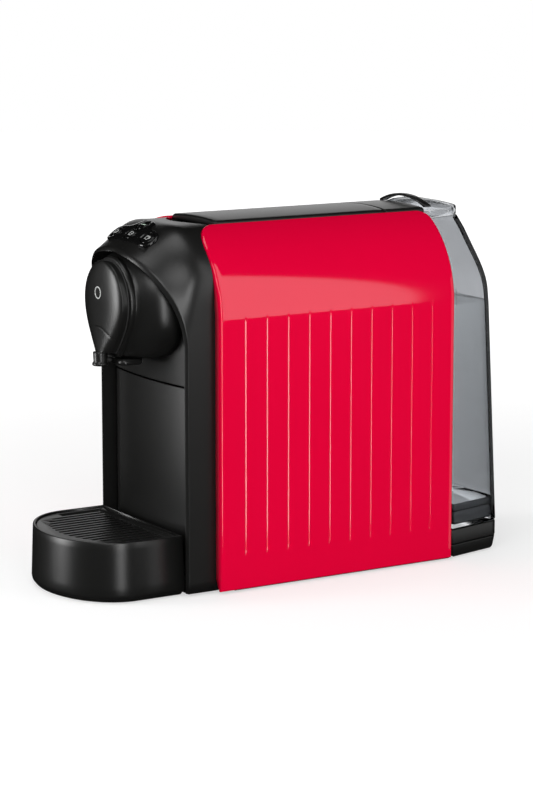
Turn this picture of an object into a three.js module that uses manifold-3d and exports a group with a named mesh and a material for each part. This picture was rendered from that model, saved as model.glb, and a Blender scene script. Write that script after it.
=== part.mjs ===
// Compact capsule espresso machine, built the way the real one is assembled.
// Millimetres, +Z up, front of the machine towards -Y, +X its right-hand side.
// The origin is on the floor, under the middle of the machine's outline.
import * as THREE from 'three';
import Module from 'manifold-3d';
import { mergeVertices } from 'three/addons/utils/BufferGeometryUtils.js';

const wasm = await Module();
wasm.setup();

// ---------------------------------------------------------------- sizes
const GAP = 0.3;                    // clearance between pieces that touch

// Body section: upright sides closed by a half-round arch.
const PANEL_R = 68;                 // outside of the coloured side panels
const PANEL_WALL = 2.5;
const HOUSING_R = 60.3;             // outside of the black housing
const WALL = 2.2;                   // moulded wall thickness
const ARCH_Z = 183;                 // height of the arch centre
const PANEL_FRONT = -72.2;
const PANEL_REAR = 115.5;
const PANEL_FOOT = 2;               // underside of the panels
const PANEL_TOP_X = 30.2;           // the panels stop here, the lever lies between
const CORNER_R = 16;                // panel corners seen from the side
const GROOVES = 10;
const GROOVE_FIRST = -53.1;
const GROOVE_PITCH = 16.6;
const GROOVE_WIDTH = 1;
const GROOVE_DEPTH = 0.9;
const GROOVE_LOW = 26;

// Front edge of the housing: an arch that leans forward towards its crown.
const EDGE_Y = -92.2;
const EDGE_LEAN = 19.8;
const EDGE_Z = 165;
const EDGE_RISE = 63;
const CROWN_REACH = 60.6;           // arch centre to the flat crown of the hood
const HOUSING_REAR = -56;
const RECESS_Y = -70;               // front of the finger recess on the centre line
const RECESS_REAR = -50;

// Base, feet and the rear dock that carries the tank.
const BASE_LOW = 1;
const BASE_TOP = 10.5;
const BASE_X = 65;
const FOOT_R = 8;
const DOCK_TOP = 21.3;
const TANK_FRONT = 116.5;
const TANK_REAR = 165;
const TANK_CORNER = 8;               // rear corner radius low down; it grows towards the lid
const TANK_LOW = 22;
const TANK_TOP = 238.2;
const TANK_W = 66.8;
const LID_TOP = 250;
const MACHINE_TOP = 252;

// Drip drawer.
const TRAY_FRONT = -170;
const TRAY_SHOULDER = -128;          // the straight sides of the tray end here
const TRAY_X = 56.7;
const TRAY_REAR = -93.2;
const TRAY_LOW = 0.8;
const TRAY_TOP = 41.2;
const GRID_Z = 40;
const BIN_TOP = 137.3;
const COLUMN_Y = -88.5;             // crown of the slightly bowed column front
const COLUMN_BOW = 5;

// Lever and brew group.
const LEVER_X = 29.6;
const LEVER_FRONT = -53;
const PIVOT = { y: 76, z: 238 };
const LEVER_END_R = 10.4;
const CRANK_R = 19.5;
const LEVER_SWING = THREE.MathUtils.degToRad(75);
const SHAFT_R = 2.5;
const DECK_Z = 229;
const CUP_AXIS_Z = 190;
const CUP_REAR = -18.4;
const CUP_DEPTH = 28;
const CUP_R = 24;
const FRAME_X = 34;
const RAIL = { x0: 27, x1: 30.5, z0: 198, z1: 206 };

// Head, outlet and buttons.
const FACE_Y = -117;
const FACE_Z = 193;
const FACE_W = 26.5;
const SPOUT_Y = -125;
const DRAIN_Z = 166;                // coffee reaches the outlet at this height
const SLOPE = THREE.MathUtils.degToRad(31);
const PAD = { y: -100, z: 235.2 };  // centre of the button row on the sloping hood
const KEY_R = 5;
const KEY_PITCH = 21.5;
const POWER_KEY_UP = 11;

// ---------------------------------------------------------------- materials
const plastic = (color, roughness, extra = {}) =>
  new THREE.MeshStandardMaterial({ color, roughness, metalness: 0, ...extra });
const metal = (color, roughness) =>
  new THREE.MeshStandardMaterial({ color, roughness, metalness: 1 });
const RED = plastic(0xde0034, 0.12);
const BLACK = plastic(0x1c1c1b, 0.45);
const GLOSS_BLACK = plastic(0x0c0c0c, 0.12);
const DARK_GREY = plastic(0x2b2b2b, 0.55);
const WHITE_PLASTIC = plastic(0xd8d6d0, 0.4);
const SMOKE = plastic(0x8f9294, 0.08, { transparent: true, opacity: 0.35 });
const RUBBER = plastic(0x151515, 0.9);
const SILICONE = plastic(0xd9d4c8, 0.6);
const STEEL = metal(0xb9bbbd, 0.3);
const ALUMINIUM = metal(0xa7a9ab, 0.5);
const BOARD_GREEN = plastic(0x14502c, 0.5);

// ---------------------------------------------------------------- helpers
const toSolid = (geometry) => {
  const bare = geometry.clone();
  bare.deleteAttribute('normal');
  bare.deleteAttribute('uv');
  const merged = mergeVertices(bare, 1e-4);
  const triVerts = Uint32Array.from(merged.index.array);
  const vertProperties = Float32Array.from(merged.attributes.position.array);
  return new wasm.Manifold(new wasm.Mesh({ numProp: 3, vertProperties, triVerts }));
};

const toGeometry = (solid) => {
  const mesh = solid.getMesh();
  const geometry = new THREE.BufferGeometry();
  geometry.setAttribute('position', new THREE.BufferAttribute(mesh.vertProperties, 3));
  geometry.setIndex(new THREE.BufferAttribute(mesh.triVerts, 1));
  geometry.computeVertexNormals();
  return geometry;
};

const join = (first, ...rest) => rest.reduce((sum, solid) => sum.add(solid), first);
const cut = (first, ...rest) => rest.reduce((left, solid) => left.subtract(solid), first);

const box = (x0, x1, y0, y1, z0, z1) => {
  const geometry = new THREE.BoxGeometry(x1 - x0, y1 - y0, z1 - z0);
  geometry.translate((x0 + x1) / 2, (y0 + y1) / 2, (z0 + z1) / 2);
  return toSolid(geometry);
};

// The outline is a list of points across the axis, taken in the order that
// keeps the frame right-handed: y,z for X; z,x for Y; x,y for Z.
const ALONG = {
  x: new THREE.Matrix4().set(0, 0, 1, 0, 1, 0, 0, 0, 0, 1, 0, 0, 0, 0, 0, 1),
  y: new THREE.Matrix4().set(0, 1, 0, 0, 0, 0, 1, 0, 1, 0, 0, 0, 0, 0, 0, 1),
  z: new THREE.Matrix4(),
};
const extrude = (axis, outline, low, high) => {
  const shape = new THREE.Shape(outline.map(([u, v]) => new THREE.Vector2(u, v)));
  const geometry = new THREE.ExtrudeGeometry(shape, { depth: high - low, bevelEnabled: false });
  geometry.translate(0, 0, low);
  geometry.applyMatrix4(ALONG[axis]);
  return toSolid(geometry);
};
const extrudeX = (outline, low, high) => extrude('x', outline, low, high);
const extrudeY = (outline, low, high) => extrude('y', outline.map(([x, z]) => [z, x]), low, high);
const extrudeZ = (outline, low, high) => extrude('z', outline, low, high);

// Points of an arc, both ends included. Angles in degrees.
const arc = (cu, cv, r, from, to, steps) =>
  Array.from({ length: steps + 1 }, (_, i) => {
    const angle = THREE.MathUtils.degToRad(from + ((to - from) * i) / steps);
    return [cu + r * Math.cos(angle), cv + r * Math.sin(angle)];
  });

// A round bar along one axis; centre is given as [x, y, z] with the axis value unused.
const bar = (axis, [x, y, z], r, low, high, sides = 24) => {
  const centre = { x: [y, z], y: [z, x], z: [x, y] }[axis];
  return extrude(axis, arc(...centre, r, 0, 360 - 360 / sides, sides - 1), low, high);
};
const tube = (axis, centre, outer, inner, low, high, sides = 24) =>
  cut(bar(axis, centre, outer, low, high, sides), bar(axis, centre, inner, low - 1, high + 1, sides));

// A closed skin over a stack of loops that all have the same number of points.
const loft = (loops) => {
  const count = loops[0].length;
  const positions = loops.flat().flat();
  const index = [];
  for (let ring = 0; ring < loops.length - 1; ring += 1) {
    for (let i = 0; i < count; i += 1) {
      const a = ring * count + i;
      const b = ring * count + ((i + 1) % count);
      index.push(a, b, b + count, a, b + count, a + count);
    }
  }
  const fan = (start, flip) => {
    const middle = positions.length / 3;
    const ring = positions.slice(start * 3, (start + count) * 3);
    [0, 1, 2].forEach((k) => {
      positions.push(ring.filter((_, i) => i % 3 === k).reduce((s, v) => s + v, 0) / count);
    });
    for (let i = 0; i < count; i += 1) {
      const a = start + i;
      const b = start + ((i + 1) % count);
      index.push(...(flip ? [middle, b, a] : [middle, a, b]));
    }
  };
  fan(0, true);
  fan((loops.length - 1) * count, false);
  const corner = (k) => new THREE.Vector3(...positions.slice(index[k] * 3, index[k] * 3 + 3));
  let volume = 0;
  for (let k = 0; k < index.length; k += 3) {
    volume += corner(k).dot(corner(k + 1).cross(corner(k + 2)));
  }
  if (volume < 0) index.reverse();
  const geometry = new THREE.BufferGeometry();
  geometry.setAttribute('position', new THREE.Float32BufferAttribute(positions, 3));
  geometry.setIndex(index);
  return toSolid(geometry);
};

const hose = (points, r, steps) => {
  const path = new THREE.CatmullRomCurve3(points.map((p) => new THREE.Vector3(...p)));
  const section = new THREE.Shape(arc(0, 0, r, 0, 315, 7).map((p) => new THREE.Vector2(...p)));
  return toSolid(new THREE.ExtrudeGeometry(section, { steps, extrudePath: path, bevelEnabled: false }));
};

const machine = new THREE.Group();
const place = (name, solid, material) => {
  const mesh = new THREE.Mesh(toGeometry(solid), material);
  mesh.name = name;
  machine.add(mesh);
};
const SIDES = [['left', -1], ['right', 1]];
const mirrored = (side, low, high) => (side > 0 ? [low, high] : [-high, -low]);

// ---------------------------------------------------------------- shared outlines
// Body section at radius r: x,z points from the right foot over the arch to the left foot.
const archSection = (r, foot, steps = 32) =>
  [[r, foot], ...arc(0, ARCH_Z, r, 0, 180, steps), [-r, foot]];

// Distance from the arch centre to a rounded section: upright sides at sideX,
// shoulders at radius "shoulder" and a nearly flat crown at height "crown".
const SHARPNESS = 30;
const sectionReach = (angle, sideX, shoulder, crown) => {
  const limits = [sideX / Math.max(Math.abs(Math.cos(angle)), 1e-3), shoulder,
    crown / Math.max(Math.sin(angle), 1e-3)];
  return limits.reduce((sum, limit) => sum + limit ** -SHARPNESS, 0) ** (-1 / SHARPNESS);
};

// The housing's skin, grown outwards by "out": rounded sections joined by a loft.
// "reach" carries its front end forwards, along the slope of the hood.
const housingSkin = (out, rear, reach = 0) => {
  const steps = 20;
  const foot = PANEL_FOOT - (out < 0 ? 1 : 0);
  const station = (yAt, pointAt) => {
    const arch = Array.from({ length: steps + 1 }, (_, i) => {
      const angle = (Math.PI * i) / steps;
      const [x, z] = pointAt(angle);
      return [x, yAt(Math.sin(angle)), z];
    });
    const [right, left] = [arch[0][0], arch[steps][0]];
    return [[right, yAt(0), foot], ...arch, [left, yAt(0), foot]];
  };
  const rounded = (shoulder, crown) => (angle) => {
    const reachOut = sectionReach(angle, HOUSING_R, shoulder, crown) + out;
    return [reachOut * Math.cos(angle), ARCH_Z + reachOut * Math.sin(angle)];
  };
  const plain = (angle) =>
    [(HOUSING_R + out) * Math.cos(angle), ARCH_Z + (HOUSING_R + out) * Math.sin(angle)];
  const edge = (s) => EDGE_Y - EDGE_LEAN * s * s - Math.max(out, 0) - reach;
  const shoulderY = PANEL_FRONT - 0.6;
  return loft([
    station(edge, (angle) => [
      (HOUSING_R + out) * Math.cos(angle),
      EDGE_Z + (EDGE_RISE + out) * Math.sin(angle) - 0.62 * reach * Math.sin(angle) ** 2,
    ]),
    station((s) => -82 - 8 * s, rounded(64, CROWN_REACH - 2)),
    station(() => shoulderY, rounded(PANEL_R - 0.7, CROWN_REACH)),
    station(() => shoulderY + GAP, plain),
    station(() => rear, plain),
  ]);
};

// Front edge of the finger recess: an arc through the centre point and both panel edges.
const recessArc = (inset, halfWidth) => {
  const steps = 10;
  return Array.from({ length: steps + 1 }, (_, i) => {
    const x = halfWidth * (1 - (2 * i) / steps);
    return [x, RECESS_Y + inset + 16 * (x / halfWidth) ** 2];
  });
};

// Column front: a shallow bow across the machine, "back" moves it to the rear.
const columnArc = (halfWidth, back) => {
  const steps = 8;
  return Array.from({ length: steps + 1 }, (_, i) => {
    const x = halfWidth * (1 - (2 * i) / steps);
    return [x, COLUMN_Y + back + COLUMN_BOW * (x / 57) ** 2];
  });
};

// Tank plan at height z, drawn in by "inset": straight front, tapering sides, rounded rear corners.
const tankRear = (z) => {
  const turn = (Math.PI / 2) * Math.min(Math.max(z - 188, 0) / 40, 1);
  return TANK_REAR - (9 * (Math.min(z, 185) - TANK_LOW)) / 163 - 6.6 * Math.sin(turn) ** 2;
};
const tankHalf = (z) =>
  (z <= ARCH_Z ? TANK_W : Math.sqrt(67 ** 2 - (z - ARCH_Z) ** 2) - 0.2);
const tankLoop = (z, inset) => {
  const half = tankHalf(z) - inset;
  const rear = tankRear(z) - inset;
  const r = TANK_CORNER + 8 * Math.max((z - 180) / 58, 0) - inset;
  const corner = arc(half * 0.87 - r, rear - 1.2 - r, r, 6, 82, 7);
  const side = [[half, TANK_FRONT + inset], ...corner, [(half * 0.87 - r) * 0.7, rear - 0.4]];
  const back = side.map(([x, y]) => [-x, y]).reverse();
  return [...side, [0, rear], ...back].map(([x, y]) => [x, y, z]);
};
const plan = (loop) => loop.map(([x, y]) => [x, y]);

// Drip tray plan: straight sides and an elliptic front.
const trayFront = (x, inset) => {
  const share = Math.sqrt(Math.max(1 - (x / (TRAY_X - inset)) ** 2, 0));
  return TRAY_SHOULDER + (TRAY_FRONT + inset - TRAY_SHOULDER) * share;
};
const trayPlan = (inset, rear) => {
  const halfWidth = TRAY_X - inset;
  const steps = 22;
  const nose = Array.from({ length: steps + 1 }, (_, i) => {
    const x = halfWidth * Math.cos((Math.PI * i) / steps);
    return [x, trayFront(x, inset)];
  });
  return [[halfWidth, rear], ...nose, [-halfWidth, rear]].reverse();
};

// ---------------------------------------------------------------- side panels
const panelSide = () => {
  const r = CORNER_R;
  const top = PANEL_R + ARCH_Z - 6.2;
  return [
    [PANEL_FRONT, PANEL_FOOT], [PANEL_REAR, PANEL_FOOT],
    ...arc(PANEL_REAR - r, top - r, r, 0, 90, 5), ...arc(PANEL_FRONT + r, top - r, r, 90, 180, 5),
  ];
};
const bandBetween = (inner, outer) => {
  const tip = (radius) => THREE.MathUtils.radToDeg(Math.acos(PANEL_TOP_X / radius));
  return [
    [outer, PANEL_FOOT], ...arc(0, ARCH_Z, outer, 0, tip(outer), 14),
    ...arc(0, ARCH_Z, inner, tip(inner), 0, 14), [inner, PANEL_FOOT],
  ];
};
const sidePanel = (side) => {
  const inner = PANEL_R - PANEL_WALL;
  const band = (low, high, y0, y1) =>
    extrudeY(bandBetween(low, high).map(([x, z]) => [side * x, z]), y0, y1);
  const shell = join(
    band(inner, PANEL_R, PANEL_FRONT, PANEL_REAR),
    band(HOUSING_R + 0.8, PANEL_R, PANEL_FRONT, PANEL_FRONT + PANEL_WALL),
    band(HOUSING_R + 2.5, PANEL_R, PANEL_REAR - PANEL_WALL, PANEL_REAR),
  );
  const grooves = Array.from({ length: GROOVES }, (_, i) => {
    const y = GROOVE_FIRST + i * GROOVE_PITCH;
    const [x0, x1] = mirrored(side, PANEL_R - GROOVE_DEPTH, PANEL_R + 1);
    return box(x0, x1, y - GROOVE_WIDTH / 2, y + GROOVE_WIDTH / 2, GROOVE_LOW, ARCH_Z);
  });
  return cut(shell.intersect(extrudeX(panelSide(), -PANEL_R - 1, PANEL_R + 1)), ...grooves);
};
SIDES.forEach(([label, side]) => place(`side_panel_${label}`, sidePanel(side), RED));

// ---------------------------------------------------------------- base, feet, rear
const basePlan = [
  [-57.6, TRAY_REAR + 1], [57.6, TRAY_REAR + 1], [57.6, HOUSING_REAR + 1], [BASE_X, HOUSING_REAR + 1],
  [BASE_X, 112], [62.4, 112], [62.4, 116], ...plan(tankLoop(TANK_LOW, 0.4)),
  [-62.4, 116], [-62.4, 112], [-BASE_X, 112],
  [-BASE_X, HOUSING_REAR + 1], [-57.6, HOUSING_REAR + 1],
];
const FEET = [[-46, -78], [46, -78], [46, 146], [-46, 146]];
const footWells = FEET.map(([x, y]) => bar('z', [x, y, 0], FOOT_R + GAP, BASE_LOW - 1, 4.3));
place('base_plate', cut(extrudeZ(basePlan, BASE_LOW, BASE_TOP), ...footWells), BLACK);
FEET.forEach(([x, y], i) => {
  place(`foot_${i + 1}`, bar('z', [x, y, 0], FOOT_R, 0, 4), RUBBER);
});

const VALVE = { x: 0, y: 141 };
const valveAxis = [VALVE.x, VALVE.y, 0];
const GLAND = { x: -40, z: 16 };
const glandAxis = [GLAND.x, 0, GLAND.z];
place('tank_dock', cut(
  extrudeZ(plan(tankLoop(TANK_LOW, 0.2)), BASE_TOP + GAP, DOCK_TOP),
  bar('z', valveAxis, 9, 14, DOCK_TOP + 1),
  bar('y', glandAxis, 3.3, 149, TANK_REAR + 1, 16),
  bar('y', [0, 0, 15.6], 3, TANK_FRONT - 1, VALVE.y - 7, 16),
), BLACK);
place('dock_coupling', join(
  cut(bar('z', valveAxis, 8.6, 14.3, 20.6), bar('z', valveAxis, 5, 16, 21)),
  bar('z', valveAxis, 2, 15, TANK_LOW, 12),
), SILICONE);
place('cord_gland', join(
  bar('y', glandAxis, 3, 150, 168, 16),
  bar('y', glandAxis, 4, TANK_REAR, -TRAY_FRONT, 16),
), RUBBER);
place('rear_wall', cut(
  extrudeY(archSection(PANEL_R - PANEL_WALL - 0.4, BASE_TOP + GAP), 110, 112.4),
  box(-40, 40, 100, 120, 241.2, 260),
  bar('y', [0, 0, 15.6], 3.6, 100, 120, 16),
), BLACK);

// ---------------------------------------------------------------- front housing and column
const recessCut = extrudeZ(
  [[30, RECESS_REAR], ...recessArc(0, 30), [-30, RECESS_REAR]].reverse(), 225, 260,
);
const slopeTurn = new THREE.Matrix4().makeRotationX(SLOPE).setPosition(0, PAD.y, PAD.z);
const onSlope = (outline, low, high) => {
  const shape = new THREE.Shape(outline.map(([u, v]) => new THREE.Vector2(u, v)));
  const geometry = new THREE.ExtrudeGeometry(shape, { depth: high - low, bevelEnabled: false });
  geometry.translate(0, 0, low);
  geometry.applyMatrix4(slopeTurn);
  return toSolid(geometry);
};
const KEYS = [
  ['button_short', -KEY_PITCH, 0], ['button_medium', 0, 0], ['button_long', KEY_PITCH, 0],
  ['button_power', 0, POWER_KEY_UP],
];
const keyHole = ([, x, up], grow) => onSlope(arc(x, up, KEY_R + grow, 0, 337.5, 15), -30, 20);
const skin = housingSkin(0, HOUSING_REAR);
place('front_housing', cut(
  skin, housingSkin(-WALL, HOUSING_REAR + 2, 6), recessCut, ...KEYS.map((key) => keyHole(key, 0.4)),
), BLACK);

const funnelSlot = box(-8, 8, -100, -70, 159.8, 170.5);
place('column_panel', cut(
  extrudeZ([...columnArc(56.5, 0), ...columnArc(56.5, 2.4).reverse()].reverse(), BIN_TOP + 0.7, 224)
    .intersect(housingSkin(-WALL - GAP, HOUSING_REAR + 2, 0)),
  funnelSlot,
), BLACK);

// Head: an oval snout that grows out of the column and carries the outlet.
const headLoop = (y, halfWidth, low, high, power = 2.4) => {
  const steps = 28;
  const middle = (low + high) / 2;
  return Array.from({ length: steps }, (_, i) => {
    const turn = (2 * Math.PI * i) / steps;
    const c = Math.cos(turn);
    const s = Math.sin(turn);
    const x = halfWidth * Math.sign(c) * Math.abs(c) ** (2 / power);
    return [x, y, middle + ((high - low) / 2) * Math.sign(s) * Math.abs(s) ** (2 / power)];
  });
};
const headSkin = (inset, rear) => loft([
  headLoop(FACE_Y + inset, 26 - inset, 157 + inset, 221 - inset),
  headLoop(-111, 33 - inset, 154.5 + inset, 223.5 - inset),
  headLoop(-103, 40 - inset, 153.5 + inset, 222.5 - inset),
  headLoop(rear, 43 - inset, 153.5 + inset, 221 - inset),
]);
place('head_housing', cut(
  headSkin(0, COLUMN_Y - 0.8), headSkin(WALL, COLUMN_Y + 2),
  bar('y', [0, 0, DRAIN_Z], 4, FACE_Y - 4, FACE_Y + 6, 16),
), BLACK);

// Outlet cover: an oval that narrows to the spout, domed forwards.
const faceHalf = (z) => {
  if (z >= FACE_Z) return FACE_W * Math.sqrt(Math.max(1 - ((z - FACE_Z) / 27) ** 2, 0));
  const share = 0.5 + 0.5 * Math.cos((Math.PI * (FACE_Z - z)) / 37);
  return 5.5 + (FACE_W - 5.5) * share ** 0.55;
};
const FACE_HEIGHTS = [220, 218, 214, 208, 201, FACE_Z, 186, 179, 172, 166, 160];
const faceLoop = (y, scale) => {
  const centre = 190;
  const right = FACE_HEIGHTS.map((z) => [faceHalf(z), z]);
  const left = right.slice(1).reverse().map(([x, z]) => [-x, z]);
  return [...right, ...left].map(([x, z]) => [x * scale, y, centre + (z - centre) * scale]);
};
place('outlet_rim', cut(
  loft([faceLoop(FACE_Y - 1.7, 0.99), faceLoop(FACE_Y - 1.2, 1.03), faceLoop(FACE_Y - GAP, 1.03)]),
  bar('y', [0, 0, DRAIN_Z], 4, FACE_Y - 4, FACE_Y + 6, 16),
), BLACK);
const spoutAxis = [0, SPOUT_Y, 0];
place('outlet_cover', cut(
  join(
    loft([
      faceLoop(FACE_Y - 9.5, 0.3), faceLoop(FACE_Y - 8.9, 0.6), faceLoop(FACE_Y - 7.1, 0.85),
      faceLoop(FACE_Y - 5, 0.97), faceLoop(FACE_Y - 3, 1), faceLoop(FACE_Y - 2, 0.98),
    ]),
    bar('z', spoutAxis, 3.6, 159.2, 164),
  ),
  loft([faceLoop(FACE_Y - 7.1, 0.3), faceLoop(FACE_Y - 5.9, 0.7), faceLoop(FACE_Y - 1.5, 0.88)]),
  bar('z', spoutAxis, 2, 158, 168),
), BLACK);
place('spout_nozzle', cut(
  join(bar('z', spoutAxis, 3.6, 151, 158.9), bar('z', spoutAxis, 5, 150, 151.8)),
  bar('z', spoutAxis, 2.4, 149, 160),
), BLACK);

// ---------------------------------------------------------------- button panel and keys
const trefoil = [
  ...arc(-KEY_PITCH, 0, 7.6, 270, 100, 9),
  ...arc(0, POWER_KEY_UP - 2, 8.2, 160, 20, 7),
  ...arc(KEY_PITCH, 0, 7.6, 80, -90, 9),
];
const padTop = housingSkin(1.8, HOUSING_REAR);
const padUnder = housingSkin(GAP, HOUSING_REAR);
place('button_panel', cut(
  onSlope([...trefoil].reverse(), -16, 8).intersect(padTop), padUnder,
  ...KEYS.map((key) => keyHole(key, 0.3)),
), GLOSS_BLACK);
const keyTop = housingSkin(2.3, HOUSING_REAR);
const keyUnder = housingSkin(-WALL - 2, HOUSING_REAR + 1);
KEYS.forEach((key) => {
  place(key[0], cut(keyHole(key, 0).intersect(keyTop), keyUnder), GLOSS_BLACK);
});

// ---------------------------------------------------------------- lever deck, lever and shaft
// The deck ends at the shaft, so the lever's rear end can swing down behind it.
const DECK_X = LEVER_X - 0.2;
const deckPlan = (inset, rear) => [
  [DECK_X - inset, rear], [-DECK_X + inset, rear], ...recessArc(0.4 + inset, DECK_X - inset).reverse(),
];
const SLOT_Y = [-50, -18];
const deckSlots = [
  box(-20.5, 20.5, ...SLOT_Y, DECK_Z - 2, DECK_Z + 3),
  ...SIDES.map(([, side]) => box(...mirrored(side, 19, 26.5), 52, 80, DECK_Z - 2, DECK_Z + 3)),
];
const shaftAxis = [0, PIVOT.y, PIVOT.z];
const shaftBosses = SIDES.map(([, side]) =>
  bar('x', shaftAxis, 3.3, ...mirrored(side, DECK_X - 1.6, DECK_X)));
place('lever_deck', cut(
  join(
    cut(extrudeZ(deckPlan(0, PIVOT.y), DECK_Z, 240.5), extrudeZ(deckPlan(1.6, PIVOT.y + 1), DECK_Z + 2, 242)),
    ...shaftBosses,
  ),
  bar('x', shaftAxis, SHAFT_R + 0.25, -40, 40), ...deckSlots,
), DARK_GREY);
place('capsule_chute', cut(
  box(-23, 23, SLOT_Y[0] - 2.5, SLOT_Y[1] + 2.5, 215, DECK_Z - GAP),
  box(-20.5, 20.5, ...SLOT_Y, 210, 235),
  box(-21, 21, -60, -10, 210, 216.5),
), DARK_GREY);
place('lever_shaft', bar('x', shaftAxis, SHAFT_R, -29, 29), STEEL);

const leverTop = [[LEVER_X, 241.6], ...arc(0, 246.2 - 300, 300, 84.3, 95.7, 8), [-LEVER_X, 241.6]];
const crankEnd = (() => {
  const start = Math.asin(1) - LEVER_SWING / 2;
  return { y: PIVOT.y + CRANK_R * Math.cos(start), z: PIVOT.z - CRANK_R * Math.sin(start) };
})();
const crank = (side) => {
  const [x0, x1] = mirrored(side, 20, 24);
  const [p0, p1] = mirrored(side, 23, 31.3);
  const across = new THREE.Vector2(crankEnd.z - PIVOT.z, PIVOT.y - crankEnd.y).normalize().multiplyScalar(4);
  const arm = [
    [PIVOT.y + across.x, PIVOT.z + across.y], [crankEnd.y + across.x, crankEnd.z + across.y],
    [crankEnd.y - across.x, crankEnd.z - across.y], [PIVOT.y - across.x, PIVOT.z - across.y],
  ];
  return join(
    extrudeX(arm, x0, x1), bar('x', [0, crankEnd.y, crankEnd.z], 4, x0, x1, 16),
    bar('x', [0, crankEnd.y, crankEnd.z], 2.5, p0, p1, 16),
  );
};
const leverSkirt = (side) => {
  const [x0, x1] = mirrored(side, 24.4, 26.4);
  const outline = [[-46, 241.8], [-46, 238], [-40, 233], [66, 233], [PIVOT.y, 233], [PIVOT.y, 241.8]];
  return extrudeX(outline, x0, x1);
};
const beyondEnd = cut(
  box(-40, 40, PIVOT.y, PIVOT.y + 20, 230, 250), bar('x', shaftAxis, LEVER_END_R, -41, 41, 48),
);
place('lever', cut(
  join(
    extrudeY(leverTop, LEVER_FRONT, PIVOT.y + 12), leverSkirt(1), leverSkirt(-1),
    bar('x', shaftAxis, 5, -26.4, 26.4),
  ),
  beyondEnd, bar('x', shaftAxis, SHAFT_R + 0.25, -40, 40),
), BLACK);
SIDES.forEach(([label, side]) => {
  const hub = bar('x', shaftAxis, 5.6, -50, 50);
  place(`lever_crank_${label}`, cut(crank(side), hub), STEEL);
});
place('top_rear_cover', cut(
  extrudeY(
    [[LEVER_X, 241.6], ...arc(0, 246.2 - 300, 300, 84.3, 95.7, 8), [-LEVER_X, 241.6]],
    PIVOT.y + 6, 115.2,
  ),
  bar('x', shaftAxis, LEVER_END_R + 0.8, -41, 41, 48),
), BLACK);

// ---------------------------------------------------------------- brew group
const frameSide = (side) => {
  const [x0, x1] = mirrored(side, FRAME_X, FRAME_X + 3);
  const outline = [[-78, 150], [-8, 150], [-8, BASE_TOP + GAP], [98, BASE_TOP + GAP], [98, 222], [-78, 222]];
  const guides = [[-74, -32], [20, 62]].map(([y0, y1]) =>
    box(x0 - 1, x1 + 1, y0, y1, RAIL.z0 - 0.4, RAIL.z1 + 0.4));
  return cut(extrudeX(outline, x0, x1), ...guides, box(x0 - 1, x1 + 1, 12, 78, 40, 140));
};
place('brew_frame', join(
  frameSide(1), frameSide(-1),
  cut(
    box(-FRAME_X - 1, FRAME_X + 1, -78, 98, 150, 152.5), box(-27, 27, -62, -8, 149, 153),
    bar('z', [0, 28, 0], 5, 149, 153),
  ),
), ALUMINIUM);

const cupAxis = [0, 0, CUP_AXIS_Z];
const cupFront = CUP_REAR - CUP_DEPTH;
const yokeY = crankEnd.y;
const carriageRail = (side) => {
  const [x0, x1] = mirrored(side, RAIL.x0, RAIL.x1);
  const [l0, l1] = mirrored(side, RAIL.x1 - 1, FRAME_X + 3);
  const [b0, b1] = mirrored(side, 18, RAIL.x0 + 1);
  return cut(
    join(
      box(x0, x1, cupFront, yokeY + 6, RAIL.z0, RAIL.z1),
      box(x0, x1, yokeY - 6, yokeY + 6, RAIL.z0, 227.6),
      box(b0, b1, cupFront, cupFront + 12, RAIL.z0, RAIL.z1),
      box(l0, l1, -46, -38, RAIL.z0, RAIL.z1), box(l0, l1, 50, 58, RAIL.z0, RAIL.z1),
    ),
    box(x0 - 1, x1 + 1, yokeY - 3.2, yokeY + 3.2, 215, 225.8),
  );
};
place('brew_carriage', cut(
  join(
    bar('y', cupAxis, CUP_R, cupFront, CUP_REAR, 32), carriageRail(1), carriageRail(-1),
    bar('z', [0, cupFront - 1.4, 0], 3, 162.6, 176, 12),
  ),
  bar('y', cupAxis, 19.5, cupFront + 3.5, CUP_REAR + 1, 32),
  bar('z', [0, cupFront - 1.4, 0], 1.4, 160, 174, 12),
  bar('y', [0, 0, 172.6], 1.4, cupFront - 1.4, cupFront + 4, 12),
), DARK_GREY);
place('injector_head', cut(
  join(
    bar('y', cupAxis, 21, -17.5, -6, 32), box(-FRAME_X + GAP, FRAME_X - GAP, -15, -7, 173, 184),
  ),
  bar('y', cupAxis, 2, -13, -5, 12),
), DARK_GREY);
place('injector_seal', tube('y', cupAxis, 19.2, 16.5, -18.1, -17.8, 32), SILICONE);
place('water_needles', join(
  bar('y', cupAxis, 9, -19, -17.8, 16),
  ...[90, 210, 330].map((a) => {
    const [z, x] = arc(CUP_AXIS_Z, 0, 6, a, a, 1)[0];
    const spike = new THREE.ConeGeometry(1.4, 6, 8);
    spike.rotateX(Math.PI);
    spike.translate(x, -21.5, z);
    return toSolid(spike);
  }),
), STEEL);
place('outlet_funnel', cut(
  join(
    box(-7.5, 7.5, FACE_Y + 3.5, -43, 160.4, DRAIN_Z - 0.6),
    bar('y', [0, 0, DRAIN_Z - 0.5], 3.4, FACE_Y - 1.3, FACE_Y + 4.5, 16),
  ),
  box(-5.8, 5.8, FACE_Y + 5.5, -44.5, 162, DRAIN_Z + 4),
  bar('y', [0, 0, DRAIN_Z - 0.5], 2, FACE_Y - 2.5, FACE_Y + 7, 12),
), SILICONE);

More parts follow.
